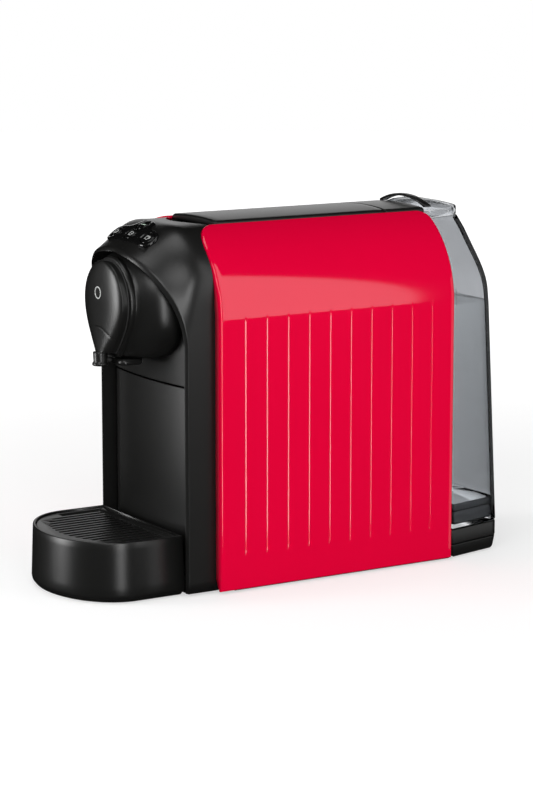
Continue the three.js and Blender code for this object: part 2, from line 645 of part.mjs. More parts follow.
// ---------------------------------------------------------------- water system and electrics
place('thermoblock', join(
  box(-22, 22, 2, 62, 162, 208),
  ...[0, 1, 2, 3].map((i) => box(-24, 24, 6 + i * 15, 12 + i * 15, 166, 196)),
  ...[[-16, 8], [16, 8], [-16, 52], [16, 52]].map(([x, y]) => bar('z', [x, y, 0], 3, 152.8, 163, 12)),
), ALUMINIUM);
place('thermostat', join(
  bar('z', [0, 14, 0], 8, 208 + GAP, 213), box(-10, 10, 11, 17, 208 + GAP, 210),
), WHITE_PLASTIC);
place('pump', join(
  bar('y', [0, 0, 62], 14, 6, 88), box(-19, 19, 24, 62, 45, 81), bar('y', [0, 0, 62], 5, 0, 96, 16),
), STEEL);
[['front', 15], ['rear', 74]].forEach(([label, y]) => {
  place(`pump_mount_${label}`, cut(
    box(-12, 12, y - 4, y + 4, BASE_TOP + GAP, 60), bar('y', [0, 0, 62], 14.3, y - 6, y + 6),
  ), RUBBER);
});
place('flow_meter', join(
  bar('z', [18, 88, 0], 11, 100, 116), bar('z', [18, 88, 0], 3, 94, 120, 12),
), WHITE_PLASTIC);
place('control_board', join(
  box(44, 45.6, 4, 92, 60, 150), box(45, 58, 14, 40, 70, 96), box(45, 53, 52, 60, 76, 130),
  box(45, 55, 68, 84, 104, 122),
), BOARD_GREEN);
const HOSES = [
  ['hose_tank', 2.5, 22, [
    [0, 131.8, 15.6], [0, 122, 15.6], [0, 113, 15.6], [0, 106, 15.6], [10, 101, 24], [20, 98, 44],
    [18, 90, 76],
    [18, 88, 86], [18, 88, 93.6]]],
  ['hose_meter', 2.5, 26, [
    [18, 88, 120.4], [18, 88, 126], [10, 94, 134], [-14, 102, 126], [-22, 104, 96], [-14, 104, 70],
    [0, 103, 62], [0, 99, 62], [0, 96.4, 62]]],
  ['hose_pump', 2.5, 20, [
    [0, -0.6, 62], [0, -5, 62.6], [0, -8, 72], [0, -4, 92], [0, 18, 118], [0, 28, 140], [0, 28, 152],
    [0, 28, 161.6]]],
  ['hose_boiler', 1.2, 8, [[0, 1.2, 200], [0, 0, 199.5], [0, -1.4, 195], [0, -3, 191], [0, -5.7, 190]]],
];
HOSES.forEach(([name, r, steps, points]) => place(name, hose(points, r, steps), SILICONE));

// ---------------------------------------------------------------- drip drawer
place('drip_tray', cut(
  join(
    extrudeZ(trayPlan(0, TRAY_REAR), TRAY_LOW + 3, TRAY_TOP),
    extrudeZ(trayPlan(1.6, TRAY_REAR), TRAY_LOW, TRAY_LOW + 4),
    box(-50, 50, TRAY_REAR - 1, -13, BASE_TOP + 0.7, 13),
  ),
  extrudeZ(trayPlan(2.2, TRAY_REAR - 2.2), TRAY_LOW + 2.2, TRAY_TOP + 1),
), BLACK);
const gridSlots = Array.from({ length: 15 }, (_, i) => {
  const x = (i - 7) * 6.2;
  return box(x - 1.25, x + 1.25, trayFront(x, 12.5), -104, GRID_Z - 4, GRID_Z + 4);
});
place('drip_grid', cut(
  extrudeZ(trayPlan(2.6, TRAY_REAR - 2.6), GRID_Z - 2, GRID_Z), ...gridSlots,
), BLACK);
place('grid_rest', cut(
  extrudeZ(trayPlan(2.5, TRAY_REAR - 2.5), GRID_Z - 5, GRID_Z - 2.3),
  extrudeZ(trayPlan(4.5, TRAY_REAR - 4.5), GRID_Z - 6, GRID_Z),
), BLACK);
const binPlan = (inset) => [
  ...columnArc(54 - inset, inset), [-54 + inset, -14 - inset], [54 - inset, -14 - inset],
].reverse();
place('capsule_bin', cut(
  extrudeZ(binPlan(0), 13.4, BIN_TOP), extrudeZ(binPlan(2), 15.6, BIN_TOP + 1),
), BLACK);

// ---------------------------------------------------------------- water tank, lid and valve
const TANK_STATIONS = [TANK_LOW, 60, 120, 185, 193, 200, 207, 214, 221, 228, TANK_TOP];
const tankBody = (inset, stations) => loft(stations.map((z) => tankLoop(z, inset)));
place('water_tank', cut(
  tankBody(0, TANK_STATIONS), tankBody(2, [TANK_LOW + 2.4, ...TANK_STATIONS.slice(1, -1), TANK_TOP + 1]),
  bar('z', valveAxis, 3.8, TANK_LOW - 1, TANK_LOW + 4),
), SMOKE);
const lidSide = (drop) => [
  [TANK_FRONT + drop, TANK_TOP + 0.6 - 2 * drop], [149.3 - drop, TANK_TOP + 0.6 - 2 * drop],
  [149.3 - drop, 243.4 - drop], [146 - drop, 246 - drop], [132, 248.4 - drop],
  [TANK_FRONT + drop, LID_TOP - drop],
];
const lidSolid = (drop) => extrudeX(lidSide(drop), -50, 50)
  .intersect(extrudeY(archSection(66.9 - drop, 100, 48), 100, 170))
  .intersect(extrudeZ(plan(tankLoop(TANK_TOP, drop)), 200, 260));
place('tank_lid', cut(lidSolid(0), lidSolid(2)), SMOKE);
place('lid_tab', extrudeY(
  [...arc(0, ARCH_Z, 69, 66, 114, 10), ...arc(0, ARCH_Z, 67.3, 114, 66, 10)], TANK_FRONT, TANK_FRONT + 6,
).intersect(box(-40, 40, 100, 140, 230, MACHINE_TOP)), BLACK);
place('tank_valve', join(
  bar('z', valveAxis, 3.4, TANK_LOW + 0.3, 30, 16), bar('z', valveAxis, 6, 27.8, 30, 16),
), WHITE_PLASTIC);
place('tank_filter', cut(
  bar('z', valveAxis, 10, TANK_LOW + 2.7, 40), bar('z', valveAxis, 8.6, TANK_LOW, 38.6),
  ...[0, 45, 90, 135].map((a) => {
    const slit = new THREE.BoxGeometry(30, 2, 9);
    slit.rotateZ(THREE.MathUtils.degToRad(a));
    slit.translate(VALVE.x, VALVE.y, 32);
    return toSolid(slit);
  }),
), WHITE_PLASTIC);

export default machine;
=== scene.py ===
"""Capsule espresso machine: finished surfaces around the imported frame. Metres, +Z up, front towards -Y."""
import math

import bmesh
import bpy
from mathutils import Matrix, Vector


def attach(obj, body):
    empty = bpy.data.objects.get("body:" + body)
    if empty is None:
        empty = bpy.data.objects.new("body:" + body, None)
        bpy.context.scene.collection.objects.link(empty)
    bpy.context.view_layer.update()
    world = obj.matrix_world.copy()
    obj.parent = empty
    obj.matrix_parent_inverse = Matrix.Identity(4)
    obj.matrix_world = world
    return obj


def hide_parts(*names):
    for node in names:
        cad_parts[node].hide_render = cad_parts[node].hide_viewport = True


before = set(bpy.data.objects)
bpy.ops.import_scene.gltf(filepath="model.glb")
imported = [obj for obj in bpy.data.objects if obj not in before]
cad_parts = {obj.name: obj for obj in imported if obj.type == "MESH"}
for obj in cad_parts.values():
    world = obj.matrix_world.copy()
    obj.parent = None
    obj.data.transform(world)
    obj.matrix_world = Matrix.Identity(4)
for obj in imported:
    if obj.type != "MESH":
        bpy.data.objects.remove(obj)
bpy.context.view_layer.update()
MM = 0.001

# ---- sizes, millimetres
# Side panels: an upright wall of half width PANEL_R that turns over an arc about the height ARCH_Z.
PANEL_R = 68.0
ARCH_Z = 183.0
PANEL_FRONT, PANEL_REAR = -72.2, 115.5
PANEL_FOOT = 2.0
PANEL_TIP = math.acos(30.2 / PANEL_R)
PANEL_FILLET = 2.0
PANEL_WALL, FLANGE_FRONT, FLANGE_REAR = 2.5, 7.0, 5.0
FRONT_CORNER = (16.0, 24.0)
REAR_CORNER = (9.0, 10.0)
ARC_START = ARCH_Z - PANEL_FOOT
PANEL_TOP = ARC_START + PANEL_R * PANEL_TIP
GROOVES, GROOVE_FIRST, GROOVE_PITCH = 10, -53.1, 16.6
GROOVE_LOW, GROOVE_HIGH = 26.0, 184.0
GROOVE_CUT = 0.45

# Front housing: its upright sides take SIDE_SHARE of each half of its section, the arch the rest.
HOUSING_X, EDGE_X, INNER_X = 60.5, 60.3, 57.8
EDGE_Y, EDGE_LEAN, EDGE_Z, EDGE_RISE = -92.2, 19.8, 165.0, 63.0
EDGE_POWER, EDGE_SLANT = 2.4, 0.613
INNER_RISE = EDGE_RISE - 2.7
SIDE_SHARE = 0.5
CROWN_REACH = 60.6
SHOULDER_Y, SHOULDER_R = -74.0, 67.3
MIDDLE_R, MIDDLE_X, MIDDLE_Y, MIDDLE_LEAN = 65.2, 60.45, -83.5, 6.5
SHARPNESS = 30.0
RECESS_Y = -70.0

# Button plane on the hood, and its four keys.
SLOPE = math.radians(31)
PAD_Y, PAD_Z, KEY_R, KEY_PITCH, POWER_UP = -100.0, 235.2, 5.0, 21.5, 11.0
KEYS = (("short", -KEY_PITCH, 0.0), ("medium", 0.0, 0.0), ("long", KEY_PITCH, 0.0), ("power", 0.0, POWER_UP))

# Column, outlet cover and spout.
BIN_TOP, COLUMN_Y, COLUMN_BOW = 137.3, -88.5, 5.0
FACE_Z, FACE_W, FACE_MID, FACE_NECK = 193.0, 26.5, 190.0, 6.2
COVER_Y, MARK_Y, MARK_Z = -121.7, -126.3, 199.0
SPOUT_Y = -125.0

# Lever and the strip behind it, which meet at the lever's shaft.
STRIP_X, STRIP_FLAT, STRIP_ROUND, STRIP_UNDER = 29.6, 27.4, 2.2, 241.6
LEVER_FRONT, LEVER_NOSE = -53.0, 1.7
PIVOT_Y, PIVOT_Z = 76.0, 238.0

# Drip drawer.
TRAY_X, TRAY_FRONT, TRAY_REAR, TRAY_SHOULDER = 56.7, -170.0, -93.2, -128.0
TRAY_TOP, GRID_TOP = 41.2, 40.0
SLOTS, SLOT_PITCH, SLOT_HALF = 15, 6.2, 1.25

# Tank, lid and base.
TANK_FRONT, TANK_REAR, TANK_LOW, TANK_TOP, TANK_W = 116.5, 165.0, 22.0, 238.2, 66.8
TANK_ARCH_R, TANK_TAPER, TANK_CORNER, CORNER_GROWTH = 67.0, 0.87, 8.0, 8.0
DRAFT, DRAFT_TOP = 9.0, 185.0
STEP_Z, STEP_RUN, STEP_IN = 188.0, 40.0, 6.6
WATER_Z = 180.5
LIP_R = 69.0
FOOT_R = 8.0

# Brightness of the floor's painted glow (emission strength) under the object and far from it.
FLOOR_GLOW = (0.55, 1.0)


# ---- camera, light, stage
def link(obj):
    bpy.context.scene.collection.objects.link(obj)


def make_camera():
    data = bpy.data.cameras.new("camera")
    data.lens = 117.0
    data.sensor_width = 36.0
    data.clip_end = 50
    cam = bpy.data.objects.new("camera", data)
    cam.location = (1.5124, -0.9222, 0.4367)
    cam.rotation_euler = (math.radians(79.7), 0, math.radians(58.5))
    link(cam)
    bpy.context.scene.camera = cam


def area_light(name, location, target, size, power):
    data = bpy.data.lights.new(name, "AREA")
    data.shape = "RECTANGLE"
    data.size, data.size_y = size
    data.energy = power
    lamp = bpy.data.objects.new(name, data)
    lamp.location = location
    lamp.rotation_mode = "QUATERNION"
    lamp.rotation_quaternion = (Vector(target) - Vector(location)).to_track_quat("-Z", "Y")
    link(lamp)


def feed(node, **values):
    """Sets a node's inputs; an underscore stands for a space in a socket's name."""
    for socket, value in values.items():
        node.inputs[socket.replace("_", " ")].default_value = value


def emitter(name, strength):
    mat = bpy.data.materials.new(name)
    mat.use_nodes = True
    nodes, links = mat.node_tree.nodes, mat.node_tree.links
    nodes.clear()
    glow = nodes.new("ShaderNodeEmission")
    feed(glow, Strength=strength)
    links.new(glow.outputs[0], nodes.new("ShaderNodeOutputMaterial").inputs[0])
    return mat


def floor_material():
    """White floor with a painted glow: its emission brightens away from the object, so it fades into the
    backdrop.
    """
    mat = bpy.data.materials.new("floor_white")
    mat.use_nodes = True
    nodes, links = mat.node_tree.nodes, mat.node_tree.links
    shader = nodes["Principled BSDF"]
    feed(shader, Base_Color=(0.5, 0.5, 0.5, 1), Roughness=0.7, Specular_IOR_Level=0.0)
    feed(shader, Emission_Color=(1, 1, 1, 1))
    place = nodes.new("ShaderNodeTexCoord")
    away = nodes.new("ShaderNodeVectorMath")
    away.operation = "LENGTH"
    links.new(place.outputs["Object"], away.inputs[0])
    # Painted light: the floor's emission strength rises with distance from the object.
    fade = nodes.new("ShaderNodeMapRange")
    fade.interpolation_type = "SMOOTHSTEP"
    feed(fade, From_Min=0.25, From_Max=1.6, To_Min=FLOOR_GLOW[0], To_Max=FLOOR_GLOW[1])
    links.new(away.outputs["Value"], fade.inputs["Value"])
    links.new(fade.outputs["Result"], shader.inputs["Emission Strength"])
    return mat


def make_stage():
    world = bpy.data.worlds.new("studio")
    world.use_nodes = True
    feed(world.node_tree.nodes["Background"], Color=(1, 1, 1, 1), Strength=0.3)
    world.cycles_visibility.glossy = False
    bpy.context.scene.world = world
    bpy.ops.mesh.primitive_plane_add(size=8)
    floor = bpy.context.object
    floor.name = "floor"
    floor.data.materials.append(floor_material())
    floor.visible_glossy = False
    bpy.ops.mesh.primitive_cylinder_add(vertices=96, radius=3.9, depth=8, end_fill_type="NOTHING")
    backdrop = bpy.context.object
    backdrop.name = "backdrop"
    backdrop.data.materials.append(emitter("backdrop_white", 1.0))
    backdrop.visible_glossy = False
    backdrop.visible_diffuse = False
    backdrop.visible_shadow = False
    middle = (0, 0, 0.13)
    area_light("left_rear", (-1.35, 0.8, 0.5), middle, (0.9, 0.5), 1.6)
    area_light("front_strip", (-0.62, -1.3, 0.3), middle, (0.45, 0.9), 14)
    area_light("right_key", (1.1, -1.3, 1.25), middle, (0.9, 0.9), 10)
    area_light("edge_strip", (1.36, -0.5, 0.25), middle, (0.3, 1.1), 9)
    area_light("swoosh", (1.37, 0.665, 1.11), (0.0, 0.665, 1.11), (0.63, 2.18), 8.8)
    area_light("rear_right", (0.95, 1.3, 0.1), middle, (0.8, 1.0), 2.2)
    area_light("overhead", (0.0, -0.4, 2.0), middle, (1.0, 1.0), 8)
    scene = bpy.context.scene
    scene.view_settings.view_transform = "Standard"
    scene.view_settings.look = "None"


# ---- materials
def node_material(name, color, roughness, metallic=0.0, variation=0.06, grain=1200.0, bump=0.04, **sockets):
    """Moulded or machined surface: slow colour drift, fine grain in roughness and bump."""
    mat = bpy.data.materials.new(name)
    mat.use_nodes = True
    nodes, links = mat.node_tree.nodes, mat.node_tree.links
    shader = nodes["Principled BSDF"]
    feed(shader, Metallic=metallic, **sockets)
    place = nodes.new("ShaderNodeTexCoord")
    drift = nodes.new("ShaderNodeTexNoise")
    feed(drift, Scale=14, Detail=3)
    fine = nodes.new("ShaderNodeTexNoise")
    feed(fine, Scale=grain, Detail=2)
    links.new(place.outputs["Object"], drift.inputs["Vector"])
    links.new(place.outputs["Object"], fine.inputs["Vector"])
    ramp = nodes.new("ShaderNodeValToRGB")
    low, high = ramp.color_ramp.elements
    low.color = [max(c * (1 - variation), 0) for c in color[:3]] + [1]
    high.color = [min(c * (1 + variation), 1) for c in color[:3]] + [1]
    low.position, high.position = 0.3, 0.7
    links.new(drift.outputs["Fac"], ramp.inputs["Fac"])
    links.new(ramp.outputs["Color"], shader.inputs["Base Color"])
    rough = nodes.new("ShaderNodeMapRange")
    feed(rough, To_Min=roughness * 0.9, To_Max=roughness * 1.1)
    links.new(fine.outputs["Fac"], rough.inputs["Value"])
    links.new(rough.outputs["Result"], shader.inputs["Roughness"])
    relief = nodes.new("ShaderNodeBump")
    feed(relief, Strength=bump, Distance=0.0002)
    links.new(fine.outputs["Fac"], relief.inputs["Height"])
    links.new(relief.outputs["Normal"], shader.inputs["Normal"])
    return mat


def smoke_material(name, face, edge):
    """Clear smoked plastic: darker where the wall is seen on edge."""
    mat = node_material(name, face, 0.02, variation=0.01, bump=0.0, Transmission_Weight=1.0, IOR=1.1)
    nodes, links = mat.node_tree.nodes, mat.node_tree.links
    shader = nodes["Principled BSDF"]
    plain = shader.inputs["Base Color"].links[0].from_socket
    facing = nodes.new("ShaderNodeLayerWeight")
    feed(facing, Blend=0.5)
    ramp = nodes.new("ShaderNodeMapRange")
    ramp.interpolation_type = "SMOOTHSTEP"
    feed(ramp, From_Min=0.5, From_Max=0.85)
    links.new(facing.outputs["Facing"], ramp.inputs["Value"])
    mix = nodes.new("ShaderNodeMix")
    mix.data_type = "RGBA"
    links.new(ramp.outputs["Result"], mix.inputs["Factor"])
    links.new(plain, mix.inputs[6])
    mix.inputs[7].default_value = (*edge, 1)
    links.new(mix.outputs[2], shader.inputs["Base Color"])
    return mat


def make_materials():
    plain = {
        "red_gloss": ((0.6, 0.0006, 0.030), 0.06, dict(variation=0.015, grain=260, bump=0.006,
                                                       Specular_IOR_Level=0.5)),
        "black_satin": ((0.006, 0.006, 0.0057), 0.34, dict(variation=0.1, bump=0.06)),
        "black_gloss": ((0.004, 0.004, 0.004), 0.1, dict(grain=300, bump=0.01)),
        "dark_plastic": ((0.022, 0.022, 0.022), 0.55, dict(variation=0.1, bump=0.12)),
        "white_plastic": ((0.68, 0.66, 0.62), 0.42, dict(variation=0.03, bump=0.04)),
        "rubber": ((0.012, 0.012, 0.012), 0.85, dict(variation=0.12, grain=900, bump=0.2)),
        "silicone": ((0.62, 0.59, 0.52), 0.45, dict(variation=0.04, Subsurface_Weight=0.2)),
        "steel": ((0.5, 0.5, 0.49), 0.28, dict(metallic=1.0, grain=700, bump=0.05)),
        "aluminium": ((0.42, 0.42, 0.43), 0.5, dict(metallic=1.0, grain=500, bump=0.15)),
        "board": ((0.012, 0.085, 0.03), 0.4, dict(variation=0.15, grain=400, bump=0.05)),
        "smoke_dark": ((0.05, 0.055, 0.06), 0.12, dict(variation=0.03, bump=0.01)),
        "water": ((0.93, 0.95, 0.96), 0.005, dict(variation=0.005, bump=0.0, Transmission_Weight=1.0,
                                                  IOR=1.06)),
        "icon": ((0.42, 0.43, 0.42), 0.4, dict(variation=0.03)),
        "lamp": ((0.5, 0.62, 0.52), 0.3, dict(variation=0.03, Emission_Strength=0.05,
                                              Emission_Color=(0.7, 1.0, 0.8, 1))),
    }
    made = {name: node_material(name, color, rough, **rest) for name, (color, rough, rest) in plain.items()}
    made["smoke_clear"] = smoke_material("smoke_clear", (0.535, 0.545, 0.56), (0.02, 0.022, 0.024))
    return made


# ---- mesh helpers
def make_mesh(name, solid, weld=False):
    verts, faces = solid
    mesh = bpy.data.meshes.new(name)
    mesh.from_pydata([Vector(v) * MM for v in verts], [], faces)
    bm = bmesh.new()
    bm.from_mesh(mesh)
    if weld:
        bmesh.ops.remove_doubles(bm, verts=bm.verts, dist=1e-6)
    bmesh.ops.recalc_face_normals(bm, faces=bm.faces)
    bm.to_mesh(mesh)
    bm.free()
    return mesh


def finish_piece(name, solid, material, body, slot, stands_for=(), bevel=0.0, segments=2, angle=35):
    """Visible piece riding on a body; solid holds its vertices, in millimetres, and its faces."""
    mesh = make_mesh(name, solid, weld=True)
    obj = bpy.data.objects.new(name, mesh)
    link(obj)
    paint(obj, material)
    mesh.polygons.foreach_set("use_smooth", [True] * len(mesh.polygons))
    if bevel:
        mod = obj.modifiers.new("edges", "BEVEL")
        mod.width = bevel * MM
        mod.segments = segments
        mod.limit_method = "ANGLE"
        mod.angle_limit = math.radians(angle)
        mod.harden_normals = True
    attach(obj, body)
    if stands_for:
        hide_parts(*stands_for)
    return obj


def paint(obj, material):
    obj.data.materials.clear()
    obj.data.materials.append(MATERIALS[material])


def satin(name, solid, body="machine", stands_for=(), **edges):
    return finish_piece(name, solid, "black_satin", body, "black_satin", stands_for, **edges)


def grid_faces(rows, columns, closed=False):
    """Quads of a grid of points, row by row; closed joins its last column to its first."""
    faces = []
    for r in range(rows - 1):
        for c in range(columns if closed else columns - 1):
            a, b = r * columns + c, r * columns + (c + 1) % columns
            faces.append((a, b, b + columns, a + columns))
    return faces


def lofted(loops, closed_ends=(True, True)):
    """Closed loops of equal length, joined in order; the ends are filled with one face each."""
    count = len(loops[0])
    verts = [p for loop in loops for p in loop]
    faces = grid_faces(len(loops), count, closed=True)
    if closed_ends[0]:
        faces.append(tuple(reversed(range(count))))
    if closed_ends[1]:
        faces.append(tuple(range((len(loops) - 1) * count, len(loops) * count)))
    return verts, faces


def smooth_step(t):
    t = min(max(t, 0.0), 1.0)
    return t * t * (3 - 2 * t)


def lerp(a, b, t):
    return a + (b - a) * t


def steps(low, high, count):
    return [low + (high - low) * i / count for i in range(count + 1)]


def circle(x, y, r, count):
    turns = [2 * math.pi * i / count for i in range(count)]
    return [(x + r * math.cos(a), y + r * math.sin(a)) for a in turns]


def bridged(front, back):
    """Two grids of the same size joined round their edges into one closed skin."""
    rows, columns = len(front), len(front[0])
    verts = [p for row in front + back for p in row]
    shift = rows * columns
    faces = grid_faces(rows, columns)
    faces += [tuple(i + shift for i in reversed(face)) for face in faces]
    rim = [r * columns + c for r, c in rim_of(rows, columns)]
    for a, b in zip(rim, rim[1:] + rim[:1]):
        faces.append((a, b, b + shift, a + shift))
    return verts, faces


def rim_of(rows, columns):
    """Row and column of each point round the edge of a grid, in order."""
    rim = [(0, c) for c in range(columns)] + [(r, columns - 1) for r in range(1, rows)]
    rim += [(rows - 1, c) for c in range(columns - 2, -1, -1)]
    return rim + [(r, 0) for r in range(rows - 2, 0, -1)]


def fillet(z0, z1, r0, r1, count=4):
    """Heights and insets of a prism from z0 to z1 with rounded lower and upper edges."""
    low, high = [(z0, 0)], [(z1, 0)]
    if r0:
        low = [(z0 + r0 * (1 - math.cos(a)), r0 * (1 - math.sin(a))) for a in quarter(count)]
    if r1:
        high = [(z1 - r1 * (1 - math.sin(a)), r1 * (1 - math.cos(a))) for a in quarter(count)]
    return low + high


def quarter(count):
    return [math.pi / 2 * i / count for i in range(count + 1)]


def stacked(plan_at, levels, closed_ends=(True, True)):
    """Loft of plan outlines; plan_at(z, inset) gives x, y points."""
    return lofted([[(x, y, z) for x, y in plan_at(z, inset)] for z, inset in levels], closed_ends)


def shell(plan_at, outer, inner):
    """Open-topped vessel: outer levels upwards, then inner levels downwards to its floor."""
    return stacked(plan_at, list(outer) + list(inner))


def carve(obj, *cutters):
    """Cuts solids out of a piece's mesh for good, then removes them."""
    for cutter in cutters:
        mesh = make_mesh("cutter", cutter)
        tool = bpy.data.objects.new("cutter", mesh)
        link(tool)
        mod = obj.modifiers.new("cut", "BOOLEAN")
        mod.operation = "DIFFERENCE"
        mod.solver = "EXACT"
        mod.object = tool
        bpy.context.view_layer.update()
        graph = bpy.context.evaluated_depsgraph_get()
        result = bpy.data.meshes.new_from_object(obj.evaluated_get(graph))
        obj.modifiers.remove(mod)
        old = obj.data
        obj.data = result
        bpy.data.meshes.remove(old)
        bpy.data.objects.remove(tool)
        bpy.data.meshes.remove(mesh)


def round_bar(x, y, z0, z1, r, count, frame_at=lambda *point: point):
    return lofted([[frame_at(px, py, z) for px, py in circle(x, y, r, count)] for z in (z0, z1)])


# ---- side panels
def panel_point(s, lift=0.0):
    """Point x, z at arc length s up the panel's section, and the outward direction there."""
    if s <= ARC_START:
        return (PANEL_R + lift, PANEL_FOOT + s), (1.0, 0.0)
    turn = (s - ARC_START) / PANEL_R
    out = (math.cos(turn), math.sin(turn))
    return ((PANEL_R + lift) * out[0], ARCH_Z + (PANEL_R + lift) * out[1]), out


def corner_run(s, top, corner):
    deep, tall = corner
    below = top - s
    if below >= tall:
        return 0.0
    return deep * (1 - math.sqrt(max(1 - ((tall - below) / tall) ** 2, 0)))


def panel_front(s, inset=0.0):
    a, b = FRONT_CORNER
    return PANEL_FRONT + inset + corner_run(s, PANEL_TOP - inset, (a - inset, b - inset))


def panel_rear(s, inset=0.0):
    a, b = REAR_CORNER
    return PANEL_REAR - inset - corner_run(s, PANEL_TOP - inset, (a - inset, b - inset))


def groove_shape(offset):
    """Depth share of a groove behind its centre line: a short front wall and a long rear slope."""
    table = ((-9.0, 0.0), (-0.55, 0.0), (-0.3, 0.9), (-0.15, 1.0), (0.0, 0.9), (0.7, 0.08), (0.9, 0.0),
             (9.0, 0.0))
    for (a, da), (b, db) in zip(table, table[1:]):
        if offset <= b:
            return lerp(da, db, (offset - a) / (b - a))
    return 0.0


def side_panel(label, side):
    inset = PANEL_FILLET
    low, high = inset, PANEL_TOP - inset
    g0, g1 = GROOVE_LOW - PANEL_FOOT, GROOVE_HIGH - PANEL_FOOT
    rows = [low, 8, 16, g0 - 2, g0 - 0.8, g0 - 0.3, g0 + 0.3, g0 + 1, g0 + 3, 50, 80, 110, 140, 165, 175]
    rows += [g1 - 3, g1 - 1, g1 - 0.3, g1 + 0.3, g1 + 0.8, g1 + 2]
    rows += steps(g1 + 5, PANEL_TOP - FRONT_CORNER[1] - 1, 14)
    rows += [high - (FRONT_CORNER[1] - inset) * (1 - math.sin(a)) for a in quarter(12)]
    base_low, base_high = PANEL_FRONT + inset, PANEL_REAR - inset
    first = GROOVE_FIRST - 2.2
    columns = [lerp(base_low, first, t) for t in (0, 0.2, 0.45, 0.75)]
    grooves = [GROOVE_FIRST + i * GROOVE_PITCH for i in range(GROOVES)]
    for g in grooves:
        columns += [g + d for d in (-1.4, -0.7, -0.55, -0.3, -0.15, 0.0, 0.35, 0.7, 0.9, 1.3)]
        columns += [g + GROOVE_PITCH / 3, g + 2 * GROOVE_PITCH / 3] if g != grooves[-1] else []
    columns += [lerp(grooves[-1] + 2.2, base_high, t) for t in (0.1, 0.4, 0.7, 0.9, 1)]

    def at(s, y, lift):
        (x, z), _ = panel_point(s, lift)
        return (side * x, y, z)

    outer, inner, plan = [], [], []
    for s in rows:
        y0, y1 = panel_front(s, inset), panel_rear(s, inset)
        end = smooth_step((s - g0 + 0.8) / 1.6) * smooth_step((g1 + 0.8 - s) / 1.6)
        line, flat, spots = [], [], []
        for base in columns:
            y = y0 + (base - base_low) * (y1 - y0) / (base_high - base_low)
            near = min((base - g for g in grooves), key=abs)
            line.append(at(s, y, -GROOVE_CUT * groove_shape(near) * end))
            flat.append(at(s, y, -PANEL_WALL))
            spots.append((s, y))
        outer.append(line)
        inner.append(flat)
        plan.append(spots)
    n, m = len(rows), len(columns)
    rim = rim_of(n, m)
    verts = [p for row in outer + inner for p in row]
    faces = grid_faces(n, m)
    shift = n * m
    faces += [tuple(i + shift for i in reversed(f)) for f in grid_faces(n, m)]
    rings = [[r * m + c for r, c in rim]]
    count = len(rim)
    outward = []
    for k in range(count):
        (sa, ya), (sb, yb) = [plan[r][c] for r, c in (rim[k - 1], rim[(k + 1) % count])]
        ds, dy = sb - sa, yb - ya
        size = math.hypot(ds, dy) or 1.0
        outward.append((-dy / size, ds / size))
    for k, (r, c) in enumerate(rim):
        if (r, c) in ((0, 0), (0, m - 1)):
            outward[k] = (-1.0, -1.0 if c == 0 else 1.0)
        if (r, c) in ((n - 1, 0), (n - 1, m - 1)):
            outward[k] = (1.0, 0.0)
    profile = [(inset * math.sin(a), -inset * (1 - math.cos(a))) for a in quarter(4)[1:]]
    profile += [(inset, None), (0.0, None)]
    for out, lift in profile:
        ring = []
        for k, (r, c) in enumerate(rim):
            s, y = plan[r][c]
            s, y = s + outward[k][0] * out, y + outward[k][1] * out
            top = smooth_step((s - (PANEL_TOP - 9)) / 8)
            flange = FLANGE_FRONT if y < 0 else FLANGE_REAR
            flange = lerp(flange, PANEL_WALL, max(top, smooth_step((6 - s) / 4)))
            depth = -flange if lift is None else lift
            (x, z), direction = panel_point(s, max(depth, -inset))
            if lift is None:
                drop = -inset - depth
                dx, dz = lerp(direction[0], 0.0, top), lerp(direction[1], 1.0, top)
                x, z = x - dx * drop, z - dz * drop
            ring.append(len(verts))
            verts.append((side * x, y, z))
        rings.append(ring)
    rings.append([r * m + c + shift for r, c in rim])
    for a, b in zip(rings, rings[1:]):
        faces += [(a[k], a[(k + 1) % count], b[(k + 1) % count], b[k]) for k in range(count)]
    finish_piece(f"panel_skin_{label}", (verts, faces), "red_gloss", "machine", "red_gloss",
                 (f"side_panel_{label}",))


# ---- front housing
def section_reach(angle, shoulder, crown):
    """Distance from the arch's centre to its rounded section at an angle above level."""
    limits = (HOUSING_X / max(abs(math.cos(angle)), 1e-3), shoulder, crown / max(math.sin(angle), 1e-3))
    return sum(limit ** -SHARPNESS for limit in limits) ** (-1 / SHARPNESS)


def edge_half(s):
    """Half width of the housing's front edge; s runs 0..1 from the arch's spring to its crown."""
    return EDGE_X * max(1 - s ** EDGE_POWER, 0) ** (1 / EDGE_POWER)


def housing_section(v):
    """Rear, middle and front points of the housing at share v round its section (-1 to 1)."""
    side = 1 if v >= 0 else -1
    share = 1 - abs(v)
    if share <= SIDE_SHARE:
        t = share / SIDE_SHARE
        rear = (HOUSING_X, lerp(PANEL_FOOT, ARCH_Z, t))
        front = (EDGE_X, lerp(PANEL_FOOT, EDGE_Z, t))
        middle = (MIDDLE_X, lerp(rear[1], front[1], 0.4))
        y, s, angle = EDGE_Y, 0.0, 0.0
    else:
        angle = math.pi / 2 * (share - SIDE_SHARE) / (1 - SIDE_SHARE)
        reach = section_reach(angle, SHOULDER_R, CROWN_REACH)
        s = math.sin(angle)
        rear = (reach * math.cos(angle), ARCH_Z + reach * s)
        front = (edge_half(s), EDGE_Z + EDGE_RISE * s)
        reach = section_reach(angle, MIDDLE_R, CROWN_REACH - 1.6)
        middle = (reach * math.cos(angle), ARCH_Z + reach * s - 1.5 * (1 - s))
        y = EDGE_Y - EDGE_LEAN * s * s - EDGE_SLANT * (edge_half(s) - EDGE_X * math.cos(angle))
    return side, angle, rear, middle, front, MIDDLE_Y - MIDDLE_LEAN * s, y


def hermite(p0, p1, m0, m1, t):
    a, b = 2 * t ** 3 - 3 * t ** 2 + 1, t ** 3 - 2 * t ** 2 + t
    c, d = -2 * t ** 3 + 3 * t ** 2, t ** 3 - t ** 2
    return tuple(a * p0[k] + b * m0[k] + c * p1[k] + d * m1[k] for k in range(3))


